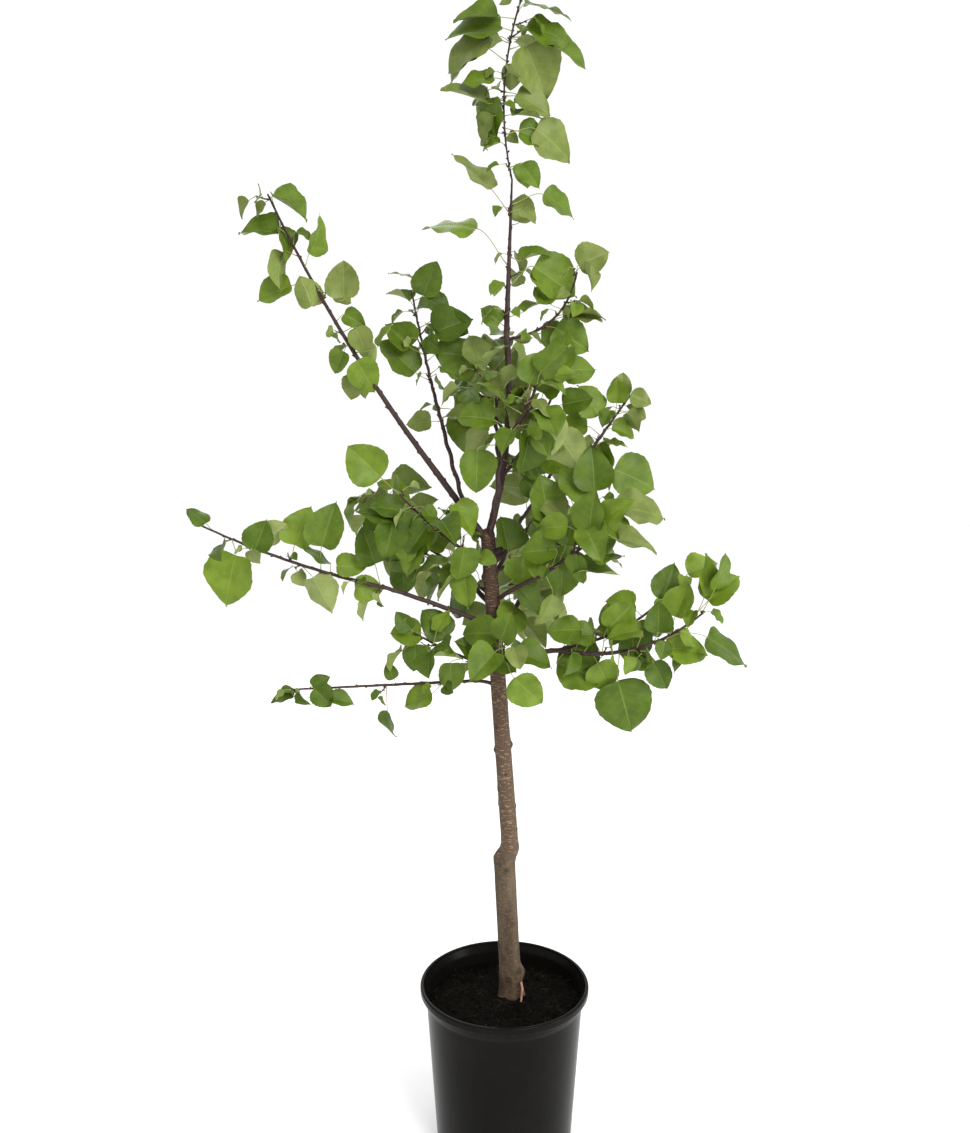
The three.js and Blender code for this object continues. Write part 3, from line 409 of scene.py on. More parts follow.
def limb_lines():
    limbs = {"trunk": trunk_limb()}
    for name, parent, share, azimuth, reach, climb, bow, foot, tip in BOUGHS:
        collar = BOUGH_COLLAR if share < 1 else 0.0
        start = start_of(limbs[parent], share)
        limbs[name] = bowed_limb(start, azimuth, reach, climb, bow, foot, tip, collar)
    for name, parent, share, azimuth, reach, climb, bow, foot, _, _ in MASSES:
        start = start_of(limbs[parent], share)
        foot = foot or limbs[parent].radius(1.0)
        limbs[name] = bowed_limb(start, azimuth, reach, climb, bow, foot, STEM_TIP_RADIUS)
    return limbs


# Touch test: two pieces touch where an edge of one crosses a face of the other

SMALLEST_CROSSING = 1e-9


def piece_of(owner, points, faces):
    points = np.array(points)
    faces = np.array(faces)
    pairs = np.concatenate([faces[:, [0, 1]], faces[:, [1, 2]], faces[:, [2, 0]]])
    return SimpleNamespace(
        owner=owner,
        points=points,
        faces=faces,
        edges=pairs[pairs[:, 0] < pairs[:, 1]],
        low=points.min(axis=0),
        high=points.max(axis=0),
    )


def wall_faces(corners, rings):
    """Triangles between rings of points that follow one another"""
    faces = []
    for here in range(corners * (rings - 1)):
        onward = here + 1 - corners if (here + 1) % corners == 0 else here + 1
        faces.append((here, onward, here + corners))
        faces.append((onward, onward + corners, here + corners))
    return faces


def solid_leaf_point(leaf, station, side, level):
    """A point of the solids' leaf: side is -1 to 1 across it, level 0 on top and -1 below"""
    share = LEAF_STATIONS[station]
    if share == 0:
        middle = leaf.foot if station == 0 else leaf.root
        return middle + PETIOLE_RADIUS * (side * leaf.stalk_side + level * leaf.stalk_face)
    swell = share**LEAF_FOOT_POWER * (1 - share) ** LEAF_TIP_POWER
    widest = LEAF_WIDEST**LEAF_FOOT_POWER * (1 - LEAF_WIDEST) ** LEAF_TIP_POWER
    half_width = leaf.length * LEAF_BREADTH * swell / widest / 2
    arch = -LEAF_ARCH * leaf.length * share * share
    fold = leaf.fold * half_width * abs(side)
    skin = LEAF_THICKNESS * level if share < 1 else 0
    across = side * half_width * leaf.across
    return leaf.root + share * leaf.length * leaf.axis + across + (arch + fold + skin) * leaf.face


def leaf_piece(owner, leaf, first, last):
    over = LEAF_CLEARANCE / LEAF_THICKNESS
    points = []
    for station in range(first, last + 1):
        for side, level in ((1, 0), (0, over), (-1, 0), (0, -1 - over)):
            points.append(solid_leaf_point(leaf, station, side, level))
    return piece_of(owner, points, wall_faces(4, last + 1 - first))


def limb_piece(owner, limb, sides, steps, first=0.0):
    shares = first + (1 - first) * np.arange(steps + 1) / steps
    side, across, _ = ring_axes(limb, shares)
    reach = (limb.radius(shares) + LEAF_CLEARANCE)[:, None, None]
    points = (limb.at(shares)[:, None] + reach * turned_ways(spokes(sides), side, across)).reshape(-1, 3)
    tip = steps * sides
    cap = [(tip, tip + k, tip + k + 1) for k in range(1, sides - 1)]
    return piece_of(owner, points, wall_faces(sides, steps + 1) + cap)


def edges_cross(one, other):
    start = one.points[one.edges[:, 0]]
    end = one.points[one.edges[:, 1]]
    low, high = np.minimum(start, end), np.maximum(start, end)
    near = ((low <= other.high) & (high >= other.low)).all(axis=1)
    if not near.any():
        return False
    start = start[near][:, None]
    way = end[near][:, None] - start
    a, b, c = (other.points[other.faces[:, corner]][None] for corner in range(3))
    ab, ac = b - a, c - a
    turn = np.cross(way, ac)
    det = (ab * turn).sum(axis=-1)
    flat = np.abs(det) < SMALLEST_CROSSING
    det = np.where(flat, 1.0, det)
    offset = start - a
    lean = np.cross(offset, ab)
    u = (offset * turn).sum(axis=-1) / det
    v = (way * lean).sum(axis=-1) / det
    t = (ac * lean).sum(axis=-1) / det
    return bool((~flat & (u >= 0) & (u <= 1) & (v >= 0) & (u + v <= 1) & (t >= 0) & (t <= 1)).any())


class Grown:
    """What has grown so far, as pieces with their boxes"""

    def __init__(self):
        self.pieces = []
        self.low = np.empty((0, 3))
        self.high = np.empty((0, 3))

    def add(self, *pieces):
        self.pieces.extend(pieces)
        self.low = np.vstack([self.low] + [piece.low for piece in pieces])
        self.high = np.vstack([self.high] + [piece.high for piece in pieces])

    def touches(self, piece, spared):
        near = ((self.low <= piece.high) & (self.high >= piece.low)).all(axis=1)
        others = [self.pieces[k] for k in np.nonzero(near)[0] if self.pieces[k].owner not in spared]
        return any(edges_cross(piece, other) or edges_cross(other, piece) for other in others)


# Growth


def way_of(letters, onward):
    return unit(sum(onward if letter == "o" else COMPASS[letter] for letter in letters))


def read_word(word, node, turn):
    grammar = r"(\*?)([a-z.]*)(?:/([a-z]+))?(?:/([a-z]+))?(\d*)([~+,^]*)"
    star, letters, blade_letters, face_letters, digit, marks = re.fullmatch(grammar, word).groups()
    in_turn = letters in ("", ".")
    turned = math.cos(turn) * node.side + math.sin(turn) * np.cross(node.side, node.along)
    return SimpleNamespace(
        is_twig=star == "*",
        way=turned if in_turn else way_of(letters, node.along),
        blade_way=way_of(blade_letters, node.along) if blade_letters else None,
        face_way=way_of(face_letters, node.along) if face_letters else None,
        length=LEAF_UNIT * int(digit or DEFAULT_LEAF_UNITS),
        underside="~" in marks,
        is_square="+" in marks,
        unrest=SQUARE_UNREST if "+" in marks else 1.0,
        stalk=SHORT_STALK if "," in marks else LONG_STALK if "^" in marks else 1.0,
    )


def node_of(limb, share, owner):
    return SimpleNamespace(
        point=limb.at(share),
        along=limb.along(share),
        side=limb.side,
        radius=limb.radius(share),
        owner=owner,
    )


def leaf_facing(root, plan):
    """The way a blade's upper side looks: a free leaf faces out and up, a turned one the front"""
    if plan.face_way is not None:
        return FACE_TURNED * plan.face_way
    if plan.blade_way is not None and plan.underside:
        return np.array([0.0, 1.0, UNDERSIDE_TURNED_UP])
    if plan.is_square:
        return np.array([0.0, -1.0, SQUARE_TURNED_UP])
    if plan.blade_way is not None:
        return np.array([0.0, -1.0, TOP_TURNED_UP])
    return FACE_OUTWARD * unit(np.array([root[0], root[1], 0.0])) + FACE_UP * UP


def place_leaf(node, plan, keys):
    stalk_share = between(STALK_SHORTEST, STALK_LONGEST, *keys, DRAW["stalk_length"])
    stalk_length = plan.length * plan.stalk * stalk_share
    unrest = STALK_UNREST * chance_vector(*keys, DRAW["stalk_way"])
    stalk_way = unit(plan.way + STALK_ONWARD * node.along + STALK_RISE * UP + unrest)
    root = node.point + stalk_way * (stalk_length + node.radius)
    if plan.blade_way is None:
        way = stalk_way - between(DROOP_LEAST, DROOP_MOST, *keys, DRAW["droop"]) * UP
    else:
        way = plan.blade_way
    axis = unit(way + BLADE_UNREST * plan.unrest * chance_vector(*keys, DRAW["blade_way"]))
    facing = leaf_facing(root, plan) + FACE_UNREST * plan.unrest * chance_vector(*keys, DRAW["face"])
    face = unit(facing - axis * (facing @ axis))
    across = np.cross(axis, face)
    stalk_side = unit(across - stalk_way * (across @ stalk_way))
    return SimpleNamespace(
        foot=node.point,
        root=root,
        axis=axis,
        face=face,
        across=across,
        stalk_way=stalk_way,
        stalk_side=stalk_side,
        stalk_face=np.cross(stalk_side, stalk_way),
        node_radius=node.radius,
        length=plan.length * between(BLADE_SHORTEST, BLADE_LONGEST, *keys, DRAW["blade_length"]),
        fold=LEAF_FOLD * chance(*keys, DRAW["fold"]),
        keys=keys,
    )


def grow_leaf(grown, shoots, node, plan, keys):
    """The first of a few tries at a leaf that touches nothing else, or no leaf. Stalks and
    blades of one mass may pass each other."""
    last = len(LEAF_STATIONS) - 1
    for attempt in range(LEAF_TRIES):
        leaf = place_leaf(node, plan, keys + (attempt,))
        blade = leaf_piece(("blades", keys[0]), leaf, 1, last)
        stalk = leaf_piece(("stalks", keys[0]), leaf, 0, 1)
        if grown.touches(blade, (stalk.owner,)):
            continue
        if grown.touches(stalk, (stalk.owner, blade.owner, node.owner)):
            continue
        grown.add(blade, stalk)
        shoots.leaves.append(leaf)
        return


def grow_side_limb(grown, node, way, length, keys, foot_radius, tip_radius):
    """A side twig, or None where it has no room"""
    azimuth = math.degrees(math.atan2(way[1], way[0]))
    reach = math.hypot(way[0], way[1]) * length
    climb, sag = way[2] * length, SPUR_SAG * length
    limb = bowed_limb(node.point, azimuth, reach, climb, -sag, foot_radius, tip_radius)
    piece = limb_piece(("spurs", keys[0]), limb, SPUR_SIDES, SPUR_STEPS, SPUR_CLEAR_FROM)
    if grown.touches(piece, (node.owner,)):
        return None
    grown.add(piece)
    return limb


def grow_tuft(grown, shoots, twig, keys, leaves, leaves_from, units, spread, draw):
    """Leaves in turn along the outer part of a side twig"""
    for k in range(leaves):
        share = leaves_from + (1 - leaves_from) * (k + 1) / leaves
        node = node_of(twig, share, ("spurs", keys[0]))
        leaf_units = units + math.floor(spread * chance(*keys, k, draw))
        grow_leaf(grown, shoots, node, read_word(f".{leaf_units}", node, k * PHYLLOTAXIS), keys + (k,))


def grow_spur(grown, shoots, node, plan, keys):
    unrest = SPUR_UNREST * chance_vector(*keys, DRAW["spur_way"])
    way = unit(plan.way + SPUR_ONWARD * node.along + unrest)
    spur = grow_side_limb(grown, node, way, plan.length, keys, SPUR_FOOT_RADIUS, SPUR_TIP_RADIUS)
    if spur is not None:
        shoots.spurs.append(spur)
        tuft = (SPUR_LEAVES, SPUR_LEAVES_FROM, SPUR_LEAF_UNITS, SPUR_LEAF_SPREAD, DRAW["spur_leaf"])
        grow_tuft(grown, shoots, spur, keys, *tuft)


def nodes_with_words(stem, row):
    """The number, word and node of each node of a mass's stem that isn't bare"""
    words = row[-1].split(" ")
    for k, word in enumerate(words):
        if word != "-":
            yield k, word, node_of(stem, (k + NODE_OFFSET) / len(words), row[0])


def grow_round(grown, stem, row, number, shoots, square_round):
    """One round of a mass's growth: the leaves laid square to the front come before the rest"""
    for k, word, node in nodes_with_words(stem, row):
        plan = read_word(word, node, k * PHYLLOTAXIS + TURN_SPREAD * chance(number))
        if plan.is_square == square_round:
            grow = grow_spur if plan.is_twig else grow_leaf
            grow(grown, shoots, node, plan, (number, k))


# Finer twigs, which only the looks have: short shoots in the leaves' axils
TWIGLET_CHANCE = 0.55
TWIGLET_SHORTEST = 7
TWIGLET_LONGEST = 21
TWIGLET_FOOT_RADIUS = 1.2
TWIGLET_TIP_RADIUS = 0.8
TWIGLET_LEAVES = 2
TWIGLET_LEAF_UNITS = 2
TWIGLET_LEAF_SPREAD = 2.5
TWIGLET_TURN = 1.1


def grow_twiglets(grown, stem, row, number, shoots):
    for k, _, node in nodes_with_words(stem, row):
        keys = (number, k, DRAW["twiglet"])
        if chance(*keys) > TWIGLET_CHANCE:
            continue
        plan = read_word(".", node, k * PHYLLOTAXIS + TWIGLET_TURN)
        way = unit(plan.way + SPUR_ONWARD * node.along + SPUR_UNREST * chance_vector(*keys))
        length = between(TWIGLET_SHORTEST, TWIGLET_LONGEST, *keys, 1)
        twiglet = grow_side_limb(grown, node, way, length, keys, TWIGLET_FOOT_RADIUS, TWIGLET_TIP_RADIUS)
        if twiglet is not None:
            shoots.twiglets.append(twiglet)
            tuft = (TWIGLET_LEAVES, 0, TWIGLET_LEAF_UNITS, TWIGLET_LEAF_SPREAD, DRAW["twiglet_leaf"])
            grow_tuft(grown, shoots, twiglet, keys, *tuft)


def grow_tree():
    """The lines of every limb, and the side twigs and leaves of every mass"""
    limbs = limb_lines()
    mass_names = {row[0] for row in MASSES}
    grown = Grown()
    for name, limb in limbs.items():
        sides = STEM_SIDES if name in mass_names else BOUGH_SIDES
        grown.add(limb_piece(name, limb, sides, STEM_STEPS))
    grown.add(limb_piece("trunk", stub_limb(), BOUGH_SIDES, 1))
    masses = [SimpleNamespace(spurs=[], twiglets=[], leaves=[]) for _ in MASSES]
    for square_round in (True, False):
        for number, row in enumerate(MASSES):
            grow_round(grown, limbs[row[0]], row, number, masses[number], square_round)
    for number, row in enumerate(MASSES):
        grow_twiglets(grown, limbs[row[0]], row, number, masses[number])
    return limbs, masses


# Meshes


class Patches:
    """Grids of points, in millimetres, gathered into one mesh"""

    def __init__(self):
        self.points = []
        self.quads = []
        self.slots = []
        self.places = []
        self.count = 0

    def add(self, grid, slot=0, closed=False, outward=True, places=None):
        """A grid of rows and columns of points. The columns join up where closed is true."""
        rows, columns = grid.shape[:2]
        number = np.arange(rows * columns).reshape(rows, columns) + self.count
        if closed:
            number = np.concatenate([number, number[:, :1]], axis=1)
        corners = [number[:-1, :-1], number[:-1, 1:], number[1:, 1:], number[1:, :-1]]
        if not outward:
            corners = [corners[k] for k in (0, 3, 2, 1)]
        quads = np.stack(corners, axis=-1).reshape(-1, 4)
        self.points.append(grid.reshape(-1, 3))
        self.quads.append(quads)
        self.slots.append(np.full(len(quads), slot))
        self.places.append(np.zeros((rows * columns, 2)) if places is None else places.reshape(-1, 2))
        self.count += rows * columns

    def add_tube(self, grid, slot=0):
        """Rings round a limb, whose columns run the other way round"""
        self.add(grid, slot=slot, closed=True, outward=False)

    def build(self, name, materials):
        """The object, with the places across each patch as its UV map"""
        points = np.concatenate(self.points) * MM
        quads = np.concatenate(self.quads)
        places = np.concatenate(self.places)
        mesh = bpy.data.meshes.new(name)
        mesh.vertices.add(len(points))
        mesh.vertices.foreach_set("co", points.astype(np.float32).ravel())
        mesh.loops.add(quads.size)
        mesh.loops.foreach_set("vertex_index", quads.astype(np.int32).ravel())
        mesh.polygons.add(len(quads))
        mesh.polygons.foreach_set("loop_start", np.arange(0, quads.size, 4, dtype=np.int32))
        mesh.polygons.foreach_set("material_index", np.concatenate(self.slots).astype(np.int32))
        mesh.polygons.foreach_set("use_smooth", np.ones(len(quads), bool))
        layer = mesh.uv_layers.new(name="UVMap")
        layer.data.foreach_set("uv", places[quads.ravel()].astype(np.float32).ravel())
        mesh.update(calc_edges=True)
        mesh.validate()
        for material in materials:
            mesh.materials.append(material)
        made = bpy.data.objects.new(name, mesh)
        bpy.context.scene.collection.objects.link(made)
        return made


CAP_RINGS = 4


def tube_grid(limb, sides, shares, relief=None, wander=None):
    """Rings round a limb, with a relief of its radius and a wander of its centre line, and a
    round cap on its tip"""
    angles = spokes(sides)
    side, across, along = ring_axes(limb, shares)
    centre = limb.at(shares)
    if wander is not None:
        centre = centre + wander(shares)
    radius = np.repeat(limb.radius(shares)[:, None], sides, axis=1)
    if relief is not None:
        radius = radius * (1 + relief(shares[:, None], angles[None, :]))
    turn = turned_ways(angles, side, across)
    rings = centre[:, None] + radius[..., None] * turn
    bends = np.linspace(0, math.pi / 2, CAP_RINGS + 1)[1:]
    tip_radius = radius[-1][:, None] * turn[-1]
    caps = [
        centre[-1] + math.cos(bend) * tip_radius + math.sin(bend) * radius[-1].mean() * along[-1]
        for bend in bends
    ]
    return np.concatenate([rings, np.stack(caps)])


def angle_apart(one, other):
    return (one - other + math.pi) % (2 * math.pi) - math.pi


def bumps(spots, span, width):
    """Relief of round bumps at spots of a limb: share of its length, angle, rise"""

    def relief(shares, angles):
        rise = np.zeros(np.broadcast(shares, angles).shape)
        for share, angle, height in spots:
            apart = angle_apart(angles, angle)
            rise = rise + height * np.exp(-(((shares - share) / span) ** 2) - (apart / width) ** 2)
        return rise

    return relief


MOST_RIPPLES_ROUND = 7
SHORTEST_RIPPLE = 8
LONGEST_RIPPLE = 90
RIPPLE_FADE = 0.25


def ripple(seed, waves, strength, limb):
    """Relief of a few sine waves with seeded phases round and along a limb"""
    terms = []
    for k in range(waves):
        around = math.floor(between(1, MOST_RIPPLES_ROUND, seed, k, 1))
        turns = limb.length / between(SHORTEST_RIPPLE, LONGEST_RIPPLE, seed, k, 2)
        terms.append((around, turns, ROUND * chance(seed, k, 3), 1 / (1 + RIPPLE_FADE * around)))

    def relief(shares, angles):
        total = 0.0
        for around, turns, phase, weight in terms:
            total = total + weight * np.sin(around * angles + ROUND * turns * shares + phase)
        return strength * total / waves

    return relief


EGG_FULLNESS = 0.8
OFF_UPRIGHT = 0.3


def egg_grid(centre, axis, length, width, sides=7, rings=6):
    """An egg that narrows to its tip, for a bud or a crumb"""
    side = unit(np.cross(axis, UP + OFF_UPRIGHT * RIGHT))
    across = np.cross(side, axis)
    shares = np.linspace(0, 1, rings)
    radius = width / 2 * np.sin(math.pi * shares**EGG_FULLNESS) ** EGG_FULLNESS
    turn = turned_ways(spokes(sides), side[None], across[None])
    return centre + (shares * length)[:, None, None] * axis + radius[:, None, None] * turn


# Leaf blades for the looks: heart-shaped, finely toothed, with a drip tip
BLADE_ROWS = 22
BLADE_COLUMNS = 10
BLADE_BODY = 0.96
BLADE_TIP_POWER = 0.8
DRIP_TIP_WIDTH = 0.2
DRIP_TIP_FROM = 0.78
DRIP_TIP_POWER = 1.5
TOOTH = 0.03
TOOTHED_FROM = 0.99
BLADE_SKIN = 0.32
MARGIN_THINNING = 0.6
MIDRIB_GROOVE = 0.012
MIDRIB_WIDTH = 0.018

# What sets one blade apart from the next: least and spread of each draw, in blade lengths
BLADE_LEAN = 0.16
BLADE_NARROWEST = 0.84
BLADE_WIDENING = 0.2
HEART_LOBE = 0.28
HEART_POWER = 1.5
HEART_REACH = 0.15
ARCH_LEAST = 0.5
ARCH_SPREAD = 2.0
FOLD_SPREAD = 0.4
CUP = 1.1
CUP_LEVEL = 0.45
WAVE = 0.045
WAVES_LEAST = 1.3
TWIST = 0.9
TIP_CURL = 0.5
TIP_CURL_FROM = 0.7
TIP_CURL_POWER = 1.5


def blade_width(shares):
    body = np.clip(shares / BLADE_BODY, 0, 1)
    swell = body**LEAF_FOOT_POWER * (1 - body) ** BLADE_TIP_POWER
    drip = DRIP_TIP_WIDTH * np.clip((1 - shares) / (1 - DRIP_TIP_FROM), 0, 1) ** DRIP_TIP_POWER
    width = swell / swell.max()
    return np.where(shares > DRIP_TIP_FROM, np.maximum(width, drip), width)


def blade_grids(leaf):
    """The upper and lower skins of one leaf, and each point's place on the blade"""
    draws = (chance(*leaf.keys, DRAW["shape"], k) for k in range(10))
    lean, width, heart, arch, cup, phase, twist, tip_curl, fold, waves = draws
    shares = 0.5 - 0.5 * np.cos(math.pi * np.arange(BLADE_ROWS + 1) / BLADE_ROWS)
    sides = np.linspace(-1, 1, BLADE_COLUMNS + 1)
    share, side = np.meshgrid(shares, sides, indexing="ij")
    tooth = 1 + TOOTH * (np.arange(BLADE_ROWS + 1) % 2 - 0.5)[:, None] * (np.abs(side) > TOOTHED_FROM)
    lean = 1 + (lean - 0.5) * BLADE_LEAN * side
    width = BLADE_NARROWEST + BLADE_WIDENING * width
    x = side * blade_width(share) * LEAF_BREADTH / 2 * tooth * lean * width
    y = share - HEART_LOBE * heart * np.abs(2 * x) ** HEART_POWER * np.exp(-share / HEART_REACH)
    z = -LEAF_ARCH * (ARCH_LEAST + ARCH_SPREAD * arch) * np.clip(y, 0, 1) ** 2
    z = z + (leaf.fold + FOLD_SPREAD * fold) * np.abs(x)
    z = z + (cup - CUP_LEVEL) * CUP * x * x
    z = z + WAVE * np.sin(ROUND * ((WAVES_LEAST + waves) * y + phase)) * side * np.abs(side)
    z = z + (twist - 0.5) * TWIST * y * x
    z = z + (tip_curl - 0.5) * TIP_CURL * np.clip(y - TIP_CURL_FROM, 0, 1) ** TIP_CURL_POWER
    z = z - MIDRIB_GROOVE * np.exp(-((x / MIDRIB_WIDTH) ** 2))
    skin = BLADE_SKIN / 2 / leaf.length * (1 - MARGIN_THINNING * side**4)
    places = np.stack([0.5 + side / 2, share], axis=-1)
    grids = []
    for level in (skin, -skin):
        offset = x[..., None] * leaf.across + y[..., None] * leaf.axis + (z + level)[..., None] * leaf.face
        grids.append(leaf.root + leaf.length * offset)
    return grids[0], grids[1], places


# Stalks: how far each starts in the twig's bark and runs into the blade, in twig radii and
# blade lengths, its two bends as shares of its span, and its radius in petiole radii
STALK_SIDES = 6
STALK_RINGS = 9
STALK_START = 0.6
STALK_INTO_BLADE = 0.02
STALK_FIRST_BEND = 0.45
STALK_LAST_BEND = 0.3
STALK_PLAIN = 0.62
STALK_FOOT_SWELLING = 0.5
STALK_FOOT_FADE = 7
STALK_TOP_SWELLING = 0.16
STALK_TOP_FADE = 9
FULL_STALK_LENGTH = 45
THINNEST_STALK = 0.55
STALK_THICKENING = 0.45


def stalk_grid(leaf):
    """A leaf stalk that bends from its twig into the blade's midrib"""
    foot = leaf.foot + leaf.stalk_way * leaf.node_radius * STALK_START
    span = np.linalg.norm(leaf.root - foot)
    into = leaf.root + leaf.axis * leaf.length * STALK_INTO_BLADE
    first_bend = foot + leaf.stalk_way * span * STALK_FIRST_BEND
    points = [foot, first_bend, into - leaf.axis * span * STALK_LAST_BEND, into]
    t = np.linspace(0, 1, STALK_RINGS)[:, None]
    weights = [(1 - t) ** 3, 3 * t * (1 - t) ** 2, 3 * t * t * (1 - t), t**3]
    centre = sum(weight * point for weight, point in zip(weights, points))
    along = unit(np.gradient(centre, axis=0))
    side = unit(leaf.stalk_side - along * (along @ leaf.stalk_side)[:, None])
    across = np.cross(side, along)
    thickness = STALK_PLAIN + STALK_FOOT_SWELLING * np.exp(-t * STALK_FOOT_FADE)
    thickness = thickness + STALK_TOP_SWELLING * np.exp((t - 1) * STALK_TOP_FADE)
    radius = PETIOLE_RADIUS * thickness
    radius = radius * (THINNEST_STALK + STALK_THICKENING * min(1, leaf.length / FULL_STALK_LENGTH))
    return centre[:, None] + radius[..., None] * turned_ways(spokes(STALK_SIDES), side, across)


# Materials

NOISE_ROUGHNESS = 0.55


def srgb(red, green, blue):
    """A colour named by its screen values, as linear light"""
    linear = []
    for value in (red, green, blue):
        value /= 255
        linear.append(value / 12.92 if value <= 0.04045 else ((value + 0.055) / 1.055) ** 2.4)
    return (*linear, 1.0)


class Graph:
    """A material's node tree, built by short calls"""

    def __init__(self, name):
        self.material = bpy.data.materials.new(name)
        self.material.use_nodes = True
        self.tree = self.material.node_tree
        self.surface = self.tree.nodes["Principled BSDF"]
        self.coordinates = self.node("TexCoord")

    def put(self, socket, value):
        if isinstance(value, bpy.types.NodeSocket):
            self.tree.links.new(value, socket)
        else:
            socket.default_value = value

    def node(self, kind, *inputs, **settings):
        made = self.tree.nodes.new("ShaderNode" + kind)
        for key, value in settings.items():
            setattr(made, key, value)
        for index, value in enumerate(inputs):
            if value is not None:
                self.put(made.inputs[index], value)
        return made

    def math(self, operation, *inputs):
        return self.node("Math", *inputs, operation=operation).outputs[0]

    def times(self, value, factor):
        return self.math("MULTIPLY", value, factor)

    def plus(self, one, other):
        return self.math("ADD", one, other)

    def most(self, one, other):
        return self.math("MAXIMUM", one, other)

    def place(self, stretch=(1, 1, 1)):
        """Object coordinates, in metres, stretched"""
        return self.node("Mapping", self.coordinates.outputs["Object"], None, None, stretch).outputs[0]

    def noise(self, vector, scale, detail, roughness=NOISE_ROUGHNESS):
        made = self.node("TexNoise", vector)
        made.inputs["Scale"].default_value = scale
        made.inputs["Detail"].default_value = detail
        made.inputs["Roughness"].default_value = roughness
        return made.outputs[0]

    def cells(self, vector, scale):
        made = self.node("TexVoronoi", vector)
        made.inputs["Scale"].default_value = scale
        return made.outputs["Distance"]

    def ramp(self, value, low, high, to_low=0.0, to_high=1.0):
        """Maps a range smoothly onto another"""
        made = self.node("MapRange", value, low, high, to_low, to_high, interpolation_type="SMOOTHSTEP")
        return made.outputs[0]

    def patchy(self, scale, detail, low, high, stretch=(1, 1, 1), roughness=NOISE_ROUGHNESS):
        """Noise as patches, 0 where it is below low and 1 where it is above high"""
        return self.ramp(self.noise(self.place(stretch), scale, detail, roughness), low, high)

    def specks(self, scale, low, high, stretch=(1, 1, 1)):
        """Round specks: 1 within low of a cell's middle, 0 past high"""
        return self.ramp(self.cells(self.place(stretch), scale), low, high, 1.0, 0.0)

    def mix(self, share, one, other):
        made = self.node("Mix", data_type="RGBA")
        self.put(made.inputs[0], share)
        self.put(made.inputs[6], one)
        self.put(made.inputs[7], other)
        return made.outputs[2]

    def bump(self, height, strength, distance):
        made = self.node("Bump")
        made.inputs["Strength"].default_value = strength
        made.inputs["Distance"].default_value = distance
        self.put(made.inputs["Height"], height)
        return made.outputs[0]

    def finish(self, **sockets):
        for name, value in sockets.items():
            self.put(self.surface.inputs[name.replace("_", " ")], value)
        return self.material


# Veins: the midrib's fade and how far a side vein climbs towards the tip, in shares of the half
# blade, then the pairs along a blade and a side vein's half width, in shares of a pair's step
MIDRIB_FROM = 0.01
MIDRIB_TO = 0.045
VEIN_SLANT = -0.32
VEIN_PAIRS = 6.5
VEIN_HALF_WIDTH = 0.06


def leaf_material(name, colour, shade, vein_colour, vein_strength, roughness, specular):
    """A leaf's skin, mottled between two greens, with a pale midrib and side veins"""
    graph = Graph(name)
    split = graph.node("SeparateXYZ", graph.coordinates.outputs["UV"])
    from_rib = graph.math("ABSOLUTE", graph.math("MULTIPLY_ADD", split.outputs[0], 2, -1))
    midrib = graph.ramp(from_rib, MIDRIB_FROM, MIDRIB_TO, 1.0, 0.0)
    slant = graph.math("MULTIPLY_ADD", from_rib, VEIN_SLANT, split.outputs[1])
    beat = graph.math("PINGPONG", graph.times(slant, VEIN_PAIRS), 0.5)
    near_margin = graph.ramp(from_rib, 0.5, 0.9, 1.0, 0.0)
    vein = graph.times(graph.ramp(beat, 0.0, VEIN_HALF_WIDTH, 0.5, 0.0), near_margin)
    veins = graph.most(midrib, vein)
    mottle = graph.patchy(55, 4, 0.35, 0.68)
    green = graph.mix(mottle, colour, shade)
    share = graph.times(veins, vein_strength)
    fine = graph.noise(graph.place(), 900, 2)
    height = graph.plus(graph.times(veins, -1.0), graph.times(fine, 0.25))
    return graph.finish(
        Base_Color=graph.mix(share, green, vein_colour),
        Roughness=graph.ramp(fine, 0.3, 0.7, roughness - 0.06, roughness + 0.06),
        Specular_IOR_Level=specular,
        Normal=graph.bump(height, 0.35, 0.0004),
    )


# Leaf colours: upper sides by name, each with its shade, and the lower sides
UPPER_GREENS = {
    "deep": (srgb(72, 94, 14), srgb(60, 82, 9)),
    "mid": (srgb(86, 108, 24), srgb(72, 94, 18)),
    "fresh": (srgb(98, 120, 30), srgb(84, 106, 22)),
    "olive": (srgb(108, 120, 58), srgb(92, 106, 44)),
    "bright": (srgb(108, 130, 34), srgb(92, 116, 26)),
}
LOWER_GREENS = {
    "pale": (srgb(134, 146, 84), srgb(122, 136, 74)),
    "soft": (srgb(116, 130, 64), srgb(104, 120, 54)),
}
COLOURINGS = {
    "high": ("olive", "mid", "olive", "fresh", "mid"),
    "middle": ("mid", "fresh", "olive", "mid", "deep"),
    "low": ("deep", "fresh", "mid", "deep", "bright"),
}
SPRAY_NODES = 3
COLOUR_STRAY = 0.35
PALE_UNDERSIDES = 0.5


def leaf_materials():
    materials = {}
    for name, (colour, shade) in UPPER_GREENS.items():
        veins = srgb(148, 164, 84)
        materials[name] = leaf_material(f"leaf_upper_{name}", colour, shade, veins, 0.24, 0.45, 0.22)
    for name, (colour, shade) in LOWER_GREENS.items():
        veins = srgb(176, 184, 128)
        materials[name] = leaf_material(f"leaf_lower_{name}", colour, shade, veins, 0.42, 0.62, 0.2)
    return materials


